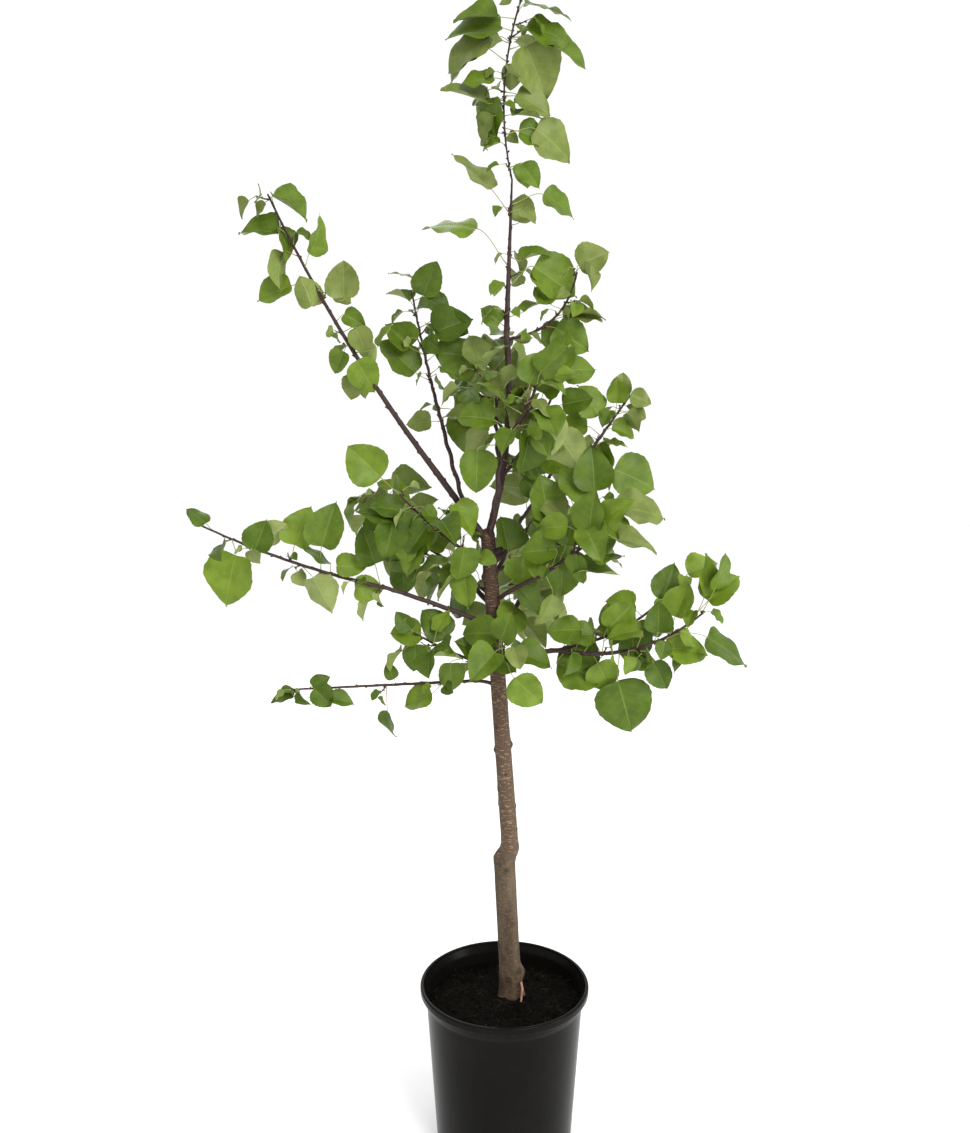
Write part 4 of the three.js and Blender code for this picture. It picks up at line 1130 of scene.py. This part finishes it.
def twig_material(name, colour, shade, pore_colour):
    """Smooth young bark with pale pores"""
    graph = Graph(name)
    grain = graph.patchy(260, 4, 0.3, 0.7, (1, 1, 0.35))
    pores = graph.specks(330, 0.1, 0.24, (1, 1, 2.2))
    bark = graph.mix(grain, shade, colour)
    height = graph.plus(grain, pores)
    return graph.finish(
        Base_Color=graph.mix(graph.times(pores, 0.55), bark, pore_colour),
        Roughness=graph.ramp(grain, 0.0, 1.0, 0.5, 0.68),
        Specular_IOR_Level=0.35,
        Normal=graph.bump(height, 0.5, 0.0004),
    )


def trunk_material(trunk):
    """Grey-brown bark with rows of pale pores and dark knots, redder above the graft"""
    graph = Graph("trunk_bark")
    place = graph.place()
    height_up = graph.node("SeparateXYZ", place).outputs[2]
    graft_low, graft_high = GRAFT_HEIGHT - GRAFT_TINT_FADE, GRAFT_HEIGHT + GRAFT_TINT_FADE
    above = graph.ramp(height_up, graft_low * MM, graft_high * MM)
    ripe = graph.ramp(height_up, GRAFT_HEIGHT * MM, FORK_HEIGHT * MM)
    patches = graph.patchy(42, 5, 0.34, 0.66, (1, 1, 0.5))
    streaks = graph.patchy(240, 4, 0.35, 0.7, (1, 1, 0.16))
    rows = graph.noise(graph.place((0.6, 0.6, 2.6)), 230, 3)
    specks = graph.specks(430, 0.12, 0.26, (1, 1, 1.6))
    pores = graph.most(graph.ramp(rows, 0.55, 0.66), graph.times(specks, 0.6))
    stock = graph.mix(patches, srgb(64, 54, 42), srgb(95, 82, 66))
    stock = graph.mix(graph.times(streaks, 0.45), stock, srgb(64, 53, 42))
    flecks = graph.patchy(260, 4, 0.55, 0.64, (1, 1, 0.7))
    stock = graph.mix(graph.times(flecks, 0.5), stock, srgb(112, 84, 54))
    foot = graph.ramp(height_up, SOIL_LEVEL * MM, (SOIL_LEVEL + FOOT_TINT_HEIGHT) * MM, 0.7, 0.0)
    stock = graph.mix(foot, stock, graph.mix(patches, srgb(62, 45, 28), srgb(104, 84, 58)))
    stem = graph.mix(ripe, srgb(84, 69, 54), srgb(69, 52, 43))
    stem = graph.mix(graph.times(patches, 0.5), stem, srgb(84, 64, 50))
    pore_share = graph.times(pores, graph.ramp(above, 0.0, 1.0, 0.22, 0.6))
    bark = graph.mix(above, stock, stem)
    bark = graph.mix(pore_share, bark, srgb(166, 142, 116))
    dark = graph.patchy(95, 4, 0.64, 0.74, (1, 1, 1.4))
    knots = 0.0
    for height, azimuth, rise, size in KNOTS:
        share = (height - SOIL_LEVEL - GAP) / trunk.length
        out = np.array([math.cos(math.radians(azimuth)), math.sin(math.radians(azimuth)), 0])
        spot = (trunk.at(share) + out * (float(trunk.radius(share)) + rise)) * MM
        apart = graph.node("VectorMath", place, tuple(spot), operation="DISTANCE").outputs["Value"]
        knot = graph.ramp(apart, KNOT_DARK_TO * size * MM, KNOT_FADED_AT * size * MM, 1.0, 0.0)
        knots = graph.most(knots, knot)
    dark = graph.most(graph.times(dark, 0.6), graph.times(knots, 0.7))
    bark = graph.mix(dark, bark, srgb(46, 35, 28))
    relief = graph.plus(graph.times(pores, 0.8), graph.times(streaks, 0.5))
    return graph.finish(
        Base_Color=bark,
        Roughness=graph.ramp(patches, 0.0, 1.0, 0.78, 0.92),
        Specular_IOR_Level=0.25,
        Normal=graph.bump(relief, 0.6, 0.0009),
    )


def stalk_material(name, colour, shade):
    graph = Graph(name)
    tint = graph.patchy(40, 2, 0.35, 0.65)
    return graph.finish(
        Base_Color=graph.mix(tint, colour, shade),
        Roughness=graph.ramp(tint, 0.0, 1.0, 0.4, 0.5),
        Specular_IOR_Level=0.4,
    )


def pot_material():
    """Satin black plastic with faint flow marks, dust and fine scratches"""
    graph = Graph("pot_plastic")
    flow = graph.noise(graph.place((1, 1, 0.12)), 26, 3)
    dust = graph.patchy(9, 5, 0.42, 0.78)
    grain = graph.noise(graph.place(), 1400, 2)
    scratches = graph.patchy(420, 2, 0.66, 0.72, (1, 1, 0.03))
    wear = graph.most(graph.times(dust, 0.35), graph.times(scratches, 0.2))
    relief = graph.plus(graph.times(grain, 0.25), flow)
    return graph.finish(
        Base_Color=graph.mix(wear, srgb(14, 13, 11), srgb(30, 28, 25)),
        Roughness=graph.ramp(flow, 0.3, 0.7, 0.22, 0.29),
        Specular_IOR_Level=0.06,
        Normal=graph.bump(relief, 0.12, 0.0005),
    )


def soil_material():
    graph = Graph("potting_soil")
    clods = graph.patchy(110, 6, 0.38, 0.66, roughness=0.7)
    specks = graph.specks(260, 0.08, 0.2)
    colour = graph.mix(clods, srgb(4, 3, 1), srgb(13, 10, 5))
    relief = graph.plus(clods, graph.times(specks, 0.4))
    return graph.finish(
        Base_Color=graph.mix(graph.times(specks, 0.25), colour, srgb(46, 37, 27)),
        Roughness=graph.ramp(clods, 0.0, 1.0, 0.8, 0.97),
        Specular_IOR_Level=0.06,
        Normal=graph.bump(relief, 0.9, 0.003),
    )


def tinted_material(name, noise, colour, shade, roughness, specular):
    graph = Graph(name)
    return graph.finish(
        Base_Color=graph.mix(graph.patchy(*noise), colour, shade),
        Roughness=roughness,
        Specular_IOR_Level=specular,
    )


# Placing


def settle(piece, node):
    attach(piece, "root")
    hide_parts(node)


# Pot

ON_AXIS = 0.01
BASE_RECESS = 1.2
BASE_RING = 23
LIP_LOW = 2.6
LIP_TOP = 3.2
LIP_INNER = 1.6
WALL_STEPS = 28
INSIDE_STEPS = 24
LEDGE_BELOW_LIP = 12
LEDGE_RISE = 1.5
SLOT_ROUNDING = 2.5
SHARP_FROM_DEGREES = 38


def wall_radius(height):
    top = RIM_RADIUS - RIM_OVERHANG
    return FOOT_RADIUS + (top - FOOT_RADIUS) * height / POT_HEIGHT


def arc(centre, radius, start, end, steps):
    """Points of an arc in the plane of radius and height, angles in degrees"""
    angles = np.radians(np.linspace(start, end, steps))
    return [(centre[0] + radius * math.cos(a), centre[1] + radius * math.sin(a)) for a in angles]


def turned(profile, sides):
    """Turns a profile of (radius, height) points about the pot's axis"""
    radius, height = np.array(profile).T[..., None]
    angles = spokes(sides)
    z = np.repeat(height, sides, axis=1)
    return np.stack([radius * np.cos(angles), radius * np.sin(angles), z], axis=-1)


def pot_profile():
    """The pot's outline from the middle of its underside, up outside and down inside: a shallow
    recess, the wall, a faint ledge under the lip, the lip's three roundings and the inner wall"""
    lip_foot = POT_HEIGHT - RIM_HEIGHT
    inner = RIM_RADIUS - RIM_WALL
    foot = wall_radius(0)
    ring = foot - BASE_RING
    profile = [(ON_AXIS, BASE_RECESS), (ring - 3, BASE_RECESS), (ring, 0.0), (foot - FOOT_ROUNDING, 0.0)]
    profile += arc((foot - FOOT_ROUNDING, FOOT_ROUNDING), FOOT_ROUNDING, -80, -4, 9)
    profile += [(wall_radius(h), h) for h in np.linspace(FOOT_ROUNDING + 2, lip_foot - 16, WALL_STEPS)]
    ledge = wall_radius(lip_foot)
    profile += [(ledge - 0.6, lip_foot - LEDGE_BELOW_LIP)]
    profile += [(ledge + 0.4, lip_foot - LEDGE_BELOW_LIP + LEDGE_RISE), (ledge + 0.4, lip_foot - 1)]
    profile += [(ledge + 1.2, lip_foot + 0.6)]
    profile += arc((RIM_RADIUS - LIP_LOW, lip_foot + LIP_LOW), LIP_LOW, -90, 0, 7)
    profile += arc((RIM_RADIUS - LIP_TOP, POT_HEIGHT - LIP_TOP), LIP_TOP, 0, 90, 9)
    profile += arc((inner + LIP_INNER, POT_HEIGHT - LIP_INNER), LIP_INNER, 90, 180, 6)
    profile += [(inner - 0.4, POT_HEIGHT - 5), (ledge - POT_WALL, lip_foot)]
    inside = np.linspace(lip_foot - 6, POT_FLOOR + 4, INSIDE_STEPS)
    profile += [(wall_radius(h) - POT_WALL, h) for h in inside]
    profile += [(foot - POT_WALL - 3, POT_FLOOR), (ON_AXIS, POT_FLOOR)]
    return profile


def slot_cutters():
    """Rounded boxes that cut the drainage slots into the pot's bottom corner"""
    mesh = bmesh.new()
    for k in range(SLOT_COUNT):
        azimuth = math.radians(SLOT_FIRST_AZIMUTH + 360 * k / SLOT_COUNT)
        made = bmesh.ops.create_cube(mesh, size=1.0)["verts"]
        size = (2 * SLOT_DEPTH * MM, SLOT_WIDTH * MM, 2 * SLOT_HEIGHT * MM)
        bmesh.ops.scale(mesh, vec=size, verts=made)
        edges = {edge for vert in made for edge in vert.link_edges}
        bevelled = bmesh.ops.bevel(
            mesh, geom=list(edges), offset=SLOT_ROUNDING * MM, segments=4, profile=0.5, affect="EDGES"
        )["verts"]
        corner = list({vert for vert in bevelled if vert.is_valid} | {v for v in made if v.is_valid})
        bmesh.ops.translate(mesh, vec=(FOOT_RADIUS * MM, 0, 0), verts=corner)
        cosine, sine = math.cos(azimuth), math.sin(azimuth)
        for vert in corner:
            x, y = vert.co.x, vert.co.y
            vert.co.x = cosine * x - sine * y
            vert.co.y = sine * x + cosine * y
    data = bpy.data.meshes.new("slot_cutters")
    mesh.to_mesh(data)
    mesh.free()
    made = bpy.data.objects.new("slot_cutters", data)
    bpy.context.scene.collection.objects.link(made)
    return made


def apply_modifiers(piece):
    bpy.context.view_layer.update()
    graph = bpy.context.evaluated_depsgraph_get()
    mesh = bpy.data.meshes.new_from_object(piece.evaluated_get(graph))
    piece.modifiers.clear()
    piece.data = mesh


def make_pot():
    patches = Patches()
    patches.add(turned(pot_profile(), POT_SIDES), closed=True)
    pot = patches.build("nursery_pot", [pot_material()])
    cutters = slot_cutters()
    cut = pot.modifiers.new("slots", "BOOLEAN")
    cut.operation = "DIFFERENCE"
    cut.solver = "EXACT"
    cut.object = cutters
    apply_modifiers(pot)
    bpy.data.objects.remove(cutters, do_unlink=True)
    for polygon in pot.data.polygons:
        polygon.use_smooth = True
    pot.data.set_sharp_from_angle(angle=math.radians(SHARP_FROM_DEGREES))
    settle(pot, "pot")


# Soil

SOIL_RINGS = 110
SOIL_SPOKES = 220
SOIL_RELIEF = 2.6
SOIL_DIP = 1.2
SHORTEST_LUMP = 9
LONGEST_LUMP = 80
HEAP_RISE = 3.0
HEAP_SPREAD = 34
WALL_FADE = 0.04
WALL_HOLLOW = 1.5
CRUMBS = 1100
CRUMB_SMALLEST = 1.2
CRUMB_LARGEST = 5.2
PLAIN_CRUMBS = 0.8
LARGE_CRUMB = 1.7
CRUMB_THINNEST = 0.3
CRUMB_FULLEST = 0.8
FIBRES = 420
FIBRE_SHORTEST = 4
FIBRE_LONGEST = 17
FIBRE_FOOT_RADIUS = 0.35
FIBRE_TIP_RADIUS = 0.16
FIBRE_HEIGHT = 0.8


def lump(x, y, seed, waves=26):
    """A rolling seeded relief between about -1 and 1"""
    total = 0.0
    for k in range(waves):
        heading = ROUND * chance(seed, k, 1)
        pitch = between(SHORTEST_LUMP, LONGEST_LUMP, seed, k, 2)
        phase = ROUND * chance(seed, k, 3)
        way = x * math.cos(heading) + y * math.sin(heading)
        total = total + math.sqrt(pitch / LONGEST_LUMP) * np.sin(ROUND * way / pitch + phase)
    return total / math.sqrt(waves)


def soil_edge(height):
    return wall_radius(height) - POT_WALL - 2 * GAP


def soil_height(x, y):
    """The soil's surface: crumbly, a little hollow by the wall and heaped at the trunk"""
    edge = soil_edge(SOIL_LEVEL)
    from_axis = np.hypot(x, y) / edge
    from_trunk = np.hypot(x - TRUNK_FOOT[0], y - TRUNK_FOOT[1])
    heap = HEAP_RISE * np.exp(-((from_trunk / HEAP_SPREAD) ** 2))
    fade = np.clip((1 - from_axis) / WALL_FADE, 0, 1)
    level = SOIL_LEVEL - SOIL_DIP + fade * SOIL_RELIEF * lump(x, y, SEED["soil"])
    return level + heap - WALL_HOLLOW * from_axis**4


def make_soil():
    outline = [(ON_AXIS, SOIL_FOOT), (soil_edge(POT_FLOOR), SOIL_FOOT)]
    outline += [(soil_edge(h), h) for h in np.linspace(SOIL_FOOT + 4, SOIL_LEVEL - 6, 12)]
    outline += [(radius, 0) for radius in soil_edge(SOIL_LEVEL) * np.linspace(1, 0.0005, SOIL_RINGS)]
    rows = turned(outline, SOIL_SPOKES)
    top = rows[-SOIL_RINGS:]
    top[..., 2] = soil_height(top[..., 0], top[..., 1])
    patches = Patches()
    patches.add(rows, closed=True)
    settle(patches.build("soil_body", [soil_material()]), "soil")


def soil_spot(*keys):
    """A seeded place on the soil, clear of the wall"""
    reach = (soil_edge(SOIL_LEVEL) - 4) * math.sqrt(chance(*keys, 1))
    heading = ROUND * chance(*keys, 2)
    x, y = reach * math.cos(heading), reach * math.sin(heading)
    return np.array([x, y, float(soil_height(x, y))])


def make_crumbs():
    """Crumbs of soil and bark, and pale root fibres"""
    patches = Patches()
    for k in range(CRUMBS):
        spot = soil_spot(DRAW["crumb_place"], k)
        axis = unit(chance_vector(DRAW["crumb_way"], k) * np.array([1, 1, 0.4]))
        size = between(CRUMB_SMALLEST, CRUMB_LARGEST, DRAW["crumb_size"], k)
        size = size * (1 if chance(DRAW["crumb_large"], k) < PLAIN_CRUMBS else LARGE_CRUMB)
        width = size * between(CRUMB_THINNEST, CRUMB_FULLEST, DRAW["crumb_width"], k)
        patches.add_tube(egg_grid(spot - axis * size / 2, axis, size, width, 5, 5))
    settle(patches.build("soil_crumbs", [soil_material()]), "soil")
    patches = Patches()
    for k in range(FIBRES):
        spot = soil_spot(DRAW["fibre_place"], k) + FIBRE_HEIGHT * UP
        azimuth = math.degrees(ROUND * chance(DRAW["fibre_heading"], k))
        climb = between(-1.5, 3.5, DRAW["fibre_climb"], k)
        length = between(FIBRE_SHORTEST, FIBRE_LONGEST, DRAW["fibre_length"], k)
        bow = between(-3, 3, DRAW["fibre_bow"], k)
        fibre = bowed_limb(spot, azimuth, length, climb, bow, FIBRE_FOOT_RADIUS, FIBRE_TIP_RADIUS)
        patches.add_tube(tube_grid(fibre, 4, np.linspace(0, 1, 6)))
    colours = srgb(26, 21, 16), srgb(54, 46, 36)
    material = tinted_material("soil_fibre", (70, 3, 0.35, 0.65), *colours, 0.9, 0.1)
    settle(patches.build("soil_fibres", [material]), "soil")


# Trunk

TRUNK_SIDES = 88
TRUNK_RINGS = 560

# Knots: height, azimuth, rise and half size along the trunk, in millimetres
KNOTS = [
    (636, -18, 3.6, 5.5), (627, 195, 2.6, 4.5), (566, 200, 0.9, 6), (592, -84, 1.2, 3.2),
    (541, 182, 0.9, 5), (538, -5, 1.3, 3.5), (502, -20, 1.3, 3), (664, -130, 1.0, 4),
    (700, 20, 0.9, 4), (712, 120, 1.6, 5), (580, 80, 1.8, 5), (760, 190, 1.2, 4),
    (790, 100, 1.8, 6), (846, -60, 1.0, 4), (890, 178, 3.2, 5), (900, 70, 1.5, 5),
    (873, -150, 1.2, 4), (440, -80, 1.5, 4.5), (447, 110, 2.0, 5), (466, 188, 1.6, 5),
    (262, 4, 6.5, 11), (270, -40, 2.2, 8), (256, 150, 2.0, 9), (310, 200, 0.8, 8),
    (352, 100, 1.0, 8), (258, -100, 1.4, 7),
]
STUB_SIDES = 24
STUB_RINGS = 26
ROOT_LOBES = 5
ROOT_LOBE_RISE = 1.8
ROOT_LOBE_HEIGHT = 14
SCAR_BELOW_GRAFT = 8
SCAR_SPAN = 9
SCAR_RISE = 0.5
PORE_RISE = 0.16
BARK_RISE = 0.8
FOOT_TINT_HEIGHT = 70
GRAFT_TINT_FADE = 6
KNOT_DARK_TO = 0.45
KNOT_FADED_AT = 1.1


def trunk_relief(trunk):
    """Knots, root lobes, the graft's scar and fine bark over the trunk's plain taper"""
    foot = SOIL_LEVEL + GAP
    bark_waves = ripple(SEED["bark_waves"], 14, 0.5, trunk)
    bark_folds = ripple(SEED["bark_folds"], 10, 0.3, trunk)

    def relief(shares, angles):
        height = foot + shares * trunk.length
        plain = trunk.radius(shares)
        azimuth = math.pi / 2 - angles
        rise = np.zeros(np.broadcast(shares, angles).shape)
        for knot_height, knot_azimuth, knot_rise, size in KNOTS:
            apart = angle_apart(azimuth, math.radians(knot_azimuth))
            gap = ((height - knot_height) / size) ** 2 + (apart * plain / size) ** 2
            rise = rise + knot_rise * np.exp(-gap)
        lobes = np.exp(-(height - foot) / ROOT_LOBE_HEIGHT) * ROOT_LOBE_RISE
        lobes = lobes * np.cos(ROOT_LOBES * azimuth + 1.0)
        scar = np.exp(-(((height - GRAFT_HEIGHT + SCAR_BELOW_GRAFT) / SCAR_SPAN) ** 2))
        scar = scar * (np.sin(9 * azimuth + 0.35 * height) + 0.7 * np.sin(5 * azimuth - 0.5 * height))
        rough = bark_waves(shares, angles) + bark_folds(shares, angles)
        pores = PORE_RISE * np.sin(1.9 * height + 4 * np.sin(2 * azimuth))
        pores = pores * np.sin(7 * azimuth + 0.05 * height)
        return (BARK_RISE + rise + lobes + SCAR_RISE * scar + rough + pores) / plain

    return relief


def make_trunk(limbs):
    trunk = limbs["trunk"]
    patches = Patches()
    shares = np.linspace(0, 1, TRUNK_RINGS)
    patches.add_tube(tube_grid(trunk, TRUNK_SIDES, shares, trunk_relief(trunk)))
    stub = stub_limb()
    shares = np.linspace(0, 1, STUB_RINGS)
    patches.add_tube(tube_grid(stub, STUB_SIDES, shares, ripple(SEED["stub"], 9, 0.12, stub)), slot=1)
    dark = twig_material("cut_stub", srgb(58, 40, 32), srgb(36, 25, 21), srgb(92, 70, 54))
    settle(patches.build("trunk_bark", [trunk_material(trunk), dark]), "trunk")


# A pale surface root that shows at the trunk's foot: its places, from the trunk down
ROOTLET = [(26, 4, 252), (28, -1, 243), (26.5, -5, 233), (25.5, -8, 224), (26, -9, 217)]
ROOTLET_LENGTH = 38
ROOTLET_SIDES = 12
ROOTLET_RINGS = 30
ROOTLET_RADIUS = 1.9
ROOTLET_TAPER = 0.7


def rootlet_limb():
    points = np.array(ROOTLET, float)

    def at(share):
        place = np.asarray(share, float) * (len(points) - 1)
        return np.stack([np.interp(place, range(len(points)), points[:, k]) for k in range(3)], axis=-1)

    def along(share):
        share = np.asarray(share, float)
        return unit(at(np.clip(share + 0.05, 0, 1)) - at(np.clip(share - 0.05, 0, 1)))

    def radius(share):
        return ROOTLET_RADIUS - ROOTLET_TAPER * np.asarray(share, float)

    return SimpleNamespace(at=at, along=along, radius=radius, side=RIGHT, length=ROOTLET_LENGTH)


def make_rootlet():
    limb = rootlet_limb()
    patches = Patches()
    shares = np.linspace(0, 1, ROOTLET_RINGS)
    patches.add_tube(tube_grid(limb, ROOTLET_SIDES, shares, ripple(SEED["rootlet"], 8, 0.25, limb)))
    material = twig_material("surface_root", srgb(176, 132, 112), srgb(140, 98, 82), srgb(196, 160, 140))
    settle(patches.build("surface_rootlet", [material]), "trunk")


# Boughs and twigs

BUD_SHORTEST = 2.4
BUD_LONGEST = 4.4
BUD_BREADTH = 0.62
BUD_ONWARD = 1.1
BUD_SINK = 0.25
BARK_STEP = 1.6
TWIG_STEP = 1.5
BOUGH_NODE_STEP = 21
SPUR_NODE_STEP = 7
TWIGLET_NODE_STEP = 6
NODE_PLACE_LEAST = 0.3
NODE_PLACE_MOST = 0.7
SWAY_LEAST = 0.25
SWAY_MOST = 0.5
GREEN_STALKS = 0.6
NODE_SPAN = 1.8
NODE_WIDTH = 1.3
LIMB_ENDS = 8


def add_bud(patches, limb, share, angle, size):
    """A bud on a limb's surface, leaning towards its tip"""
    side, across, along = ring_axes(limb, np.array([share]))
    out = math.cos(angle) * side[0] + math.sin(angle) * across[0]
    radius = float(limb.radius(share))
    centre = limb.at(share) + out * radius * (1 - BUD_SINK)
    patches.add_tube(egg_grid(centre, unit(out + BUD_ONWARD * along[0]), size, size * BUD_BREADTH))


def add_limb(patches, limb, seed, sides, ring_step, node_step, swelling):
    """A limb with fine relief, and a swelling and a bud at each node. Its rings and nodes are some
    millimetres apart, and the swelling is a share of its radius."""
    rings = max(6, round(limb.length / ring_step))
    shares = np.linspace(0, 1, rings)
    count = max(1, round(limb.length / node_step))
    spots = []
    for k in range(count):
        share = (k + between(NODE_PLACE_LEAST, NODE_PLACE_MOST, seed, k, 5)) / count
        spots.append((share, k * PHYLLOTAXIS + TURN_SPREAD * chance(seed), swelling))
    node_relief = bumps(spots, NODE_SPAN / limb.length, NODE_WIDTH)
    fine_relief = ripple(seed, 8, 0.1, limb)
    sway = between(SWAY_LEAST, SWAY_MOST, seed, 9) * float(limb.radius(0.5))

    def wander(at):
        beat = np.sin(math.pi * count * at + seed)
        beat = beat * np.clip(LIMB_ENDS * at, 0, 1) * np.clip(LIMB_ENDS * (1 - at), 0, 1)
        return sway * beat[:, None] * limb.side

    def relief(at, angles):
        return node_relief(at, angles) + fine_relief(at, angles)

    patches.add_tube(tube_grid(limb, sides, shares, relief, wander))
    for k, (share, angle, _) in enumerate(spots):
        add_bud(patches, limb, share, angle, between(BUD_SHORTEST, BUD_LONGEST, seed, k, 6))


def make_boughs(limbs, material):
    for number, row in enumerate(BOUGHS):
        name = row[0]
        patches = Patches()
        add_limb(patches, limbs[name], SEED["bough"] + number, 20, BARK_STEP, BOUGH_NODE_STEP, 0.3)
        settle(patches.build(f"{name}_bark", [material]), name)


def make_twigs(limbs, masses, materials):
    for number, row in enumerate(MASSES):
        name = row[0]
        patches = Patches()
        shoots = masses[number]
        node_step = limbs[name].length / len(row[-1].split(" "))
        add_limb(patches, limbs[name], SEED["stem"] + number, 10, BARK_STEP, node_step, 0.4)
        for k, spur in enumerate(shoots.spurs):
            seed = SEED["spur"] + 10 * number + k
            add_limb(patches, spur, seed, 8, TWIG_STEP, SPUR_NODE_STEP, 0.4)
        for k, twiglet in enumerate(shoots.twiglets):
            seed = SEED["twiglet"] + 10 * number + k
            add_limb(patches, twiglet, seed, 7, TWIG_STEP, TWIGLET_NODE_STEP, 0.3)
        for leaf in shoots.leaves:
            slot = 1 if chance(*leaf.keys, DRAW["colour"], 1) < GREEN_STALKS else 2
            patches.add_tube(stalk_grid(leaf), slot)
        settle(patches.build(f"{name}_twigs", materials), name)


def make_blades(masses, materials):
    """Each mass's leaves as one mesh, with colours dealt out by spray"""
    names = list(materials)
    for number, row in enumerate(MASSES):
        patches = Patches()
        colouring = COLOURINGS[row[-2]]
        for leaf in masses[number].leaves:
            spray = leaf.keys[1] // SPRAY_NODES
            stray = COLOUR_STRAY * chance(*leaf.keys, DRAW["colour"])
            pick = chance(number, spray, DRAW["colour"]) + stray
            upper_name = colouring[int(pick * len(colouring)) % len(colouring)]
            is_pale = chance(number, spray, DRAW["colour"], 2) < PALE_UNDERSIDES
            lower_name = "pale" if is_pale else "soft"
            upper, lower, places = blade_grids(leaf)
            patches.add(upper, slot=names.index(upper_name), places=places)
            patches.add(lower, slot=names.index(lower_name), outward=False, places=places)
        piece = patches.build(f"{row[0]}_blades", list(materials.values()))
        settle(piece, row[0])


def make_tree():
    limbs, masses = grow_tree()
    bark = twig_material("bough_bark", srgb(66, 44, 38), srgb(40, 26, 24), srgb(110, 86, 70))
    twig = twig_material("twig_bark", srgb(62, 40, 33), srgb(38, 24, 22), srgb(104, 80, 64))
    green_stalk = stalk_material("green_stalk", srgb(140, 156, 84), srgb(122, 138, 66))
    red_stalk = stalk_material("red_stalk", srgb(150, 110, 84), srgb(128, 140, 72))
    make_trunk(limbs)
    make_rootlet()
    make_boughs(limbs, bark)
    make_twigs(limbs, masses, [twig, green_stalk, red_stalk])
    make_blades(masses, leaf_materials())


# Stage: a pale floor, soft studio lights and the photograph's camera, in metres

CAMERA_PLACE = (-0.030, -1.581, 1.162)
CAMERA_PITCH = 9.2
CAMERA_LENS = 35
CAMERA_REACH = 60
FLOOR_RADIUS = 9.0
FLOOR_DROP = 0.0005
FLOOR_GREYS = (0.95, 0.95, 0.95, 1), (0.97, 0.97, 0.97, 1)
STUDIO_GLOW = 1.06

# Lights: name, place, what they look at, size and watts
LIGHTS = [
    ("key_light", (1.6, -2.6, 2.9), (0, 0, 0.9), (1.6, 1.6), 85),
    ("fill_light", (-2.6, -1.8, 1.8), (0, 0, 0.9), (2.2, 2.2), 2.5),
    ("rim_light", (1.9, -0.8, 0.6), (0, 0, 0.3), (0.6, 1.4), 17),
    ("back_light", (-0.8, 2.6, 2.8), (0, 0, 1.0), (2.0, 2.0), 30),
]


def make_floor():
    mesh = bmesh.new()
    bmesh.ops.create_circle(mesh, cap_ends=True, segments=128, radius=FLOOR_RADIUS)
    data = bpy.data.meshes.new("floor")
    mesh.to_mesh(data)
    mesh.free()
    floor = bpy.data.objects.new("floor", data)
    floor.location.z = POT_LOW.z - FLOOR_DROP
    data.materials.append(tinted_material("pale_floor", (3, 3, 0.3, 0.7), *FLOOR_GREYS, 0.75, 0.2))
    bpy.context.scene.collection.objects.link(floor)
    floor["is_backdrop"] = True


def make_light(name, place, aim, size, watts):
    data = bpy.data.lights.new(name, "AREA")
    data.shape = "RECTANGLE"
    data.size, data.size_y = size
    data.energy = watts
    light = bpy.data.objects.new(name, data)
    light.location = place
    way = np.array(aim) - np.array(place)
    flat = math.hypot(way[0], way[1])
    heading = math.atan2(way[1], way[0])
    light.rotation_euler = (math.pi / 2 + math.atan2(way[2], flat), 0, heading - math.pi / 2)
    bpy.context.scene.collection.objects.link(light)


def make_stage():
    make_floor()
    for light in LIGHTS:
        make_light(*light)
    world = bpy.data.worlds.new("studio")
    world.use_nodes = True
    background = world.node_tree.nodes["Background"]
    background.inputs["Color"].default_value = (1, 1, 1, 1)
    background.inputs["Strength"].default_value = STUDIO_GLOW
    bpy.context.scene.world = world
    data = bpy.data.cameras.new("camera")
    data.lens = CAMERA_LENS
    data.clip_end = CAMERA_REACH
    camera = bpy.data.objects.new("camera", data)
    camera.location = CAMERA_PLACE
    camera.rotation_euler = (math.radians(90 - CAMERA_PITCH), 0, 0)
    bpy.context.scene.collection.objects.link(camera)
    bpy.context.scene.camera = camera
    bpy.context.scene.view_settings.view_transform = "Standard"


make_stage()
make_pot()
make_soil()
make_crumbs()
make_tree()

DRESSED_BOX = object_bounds()
boxes = {"solids": SOLIDS_BOX, "dressed": DRESSED_BOX}
{name: [list(corner) for corner in box] for name, box in boxes.items()}
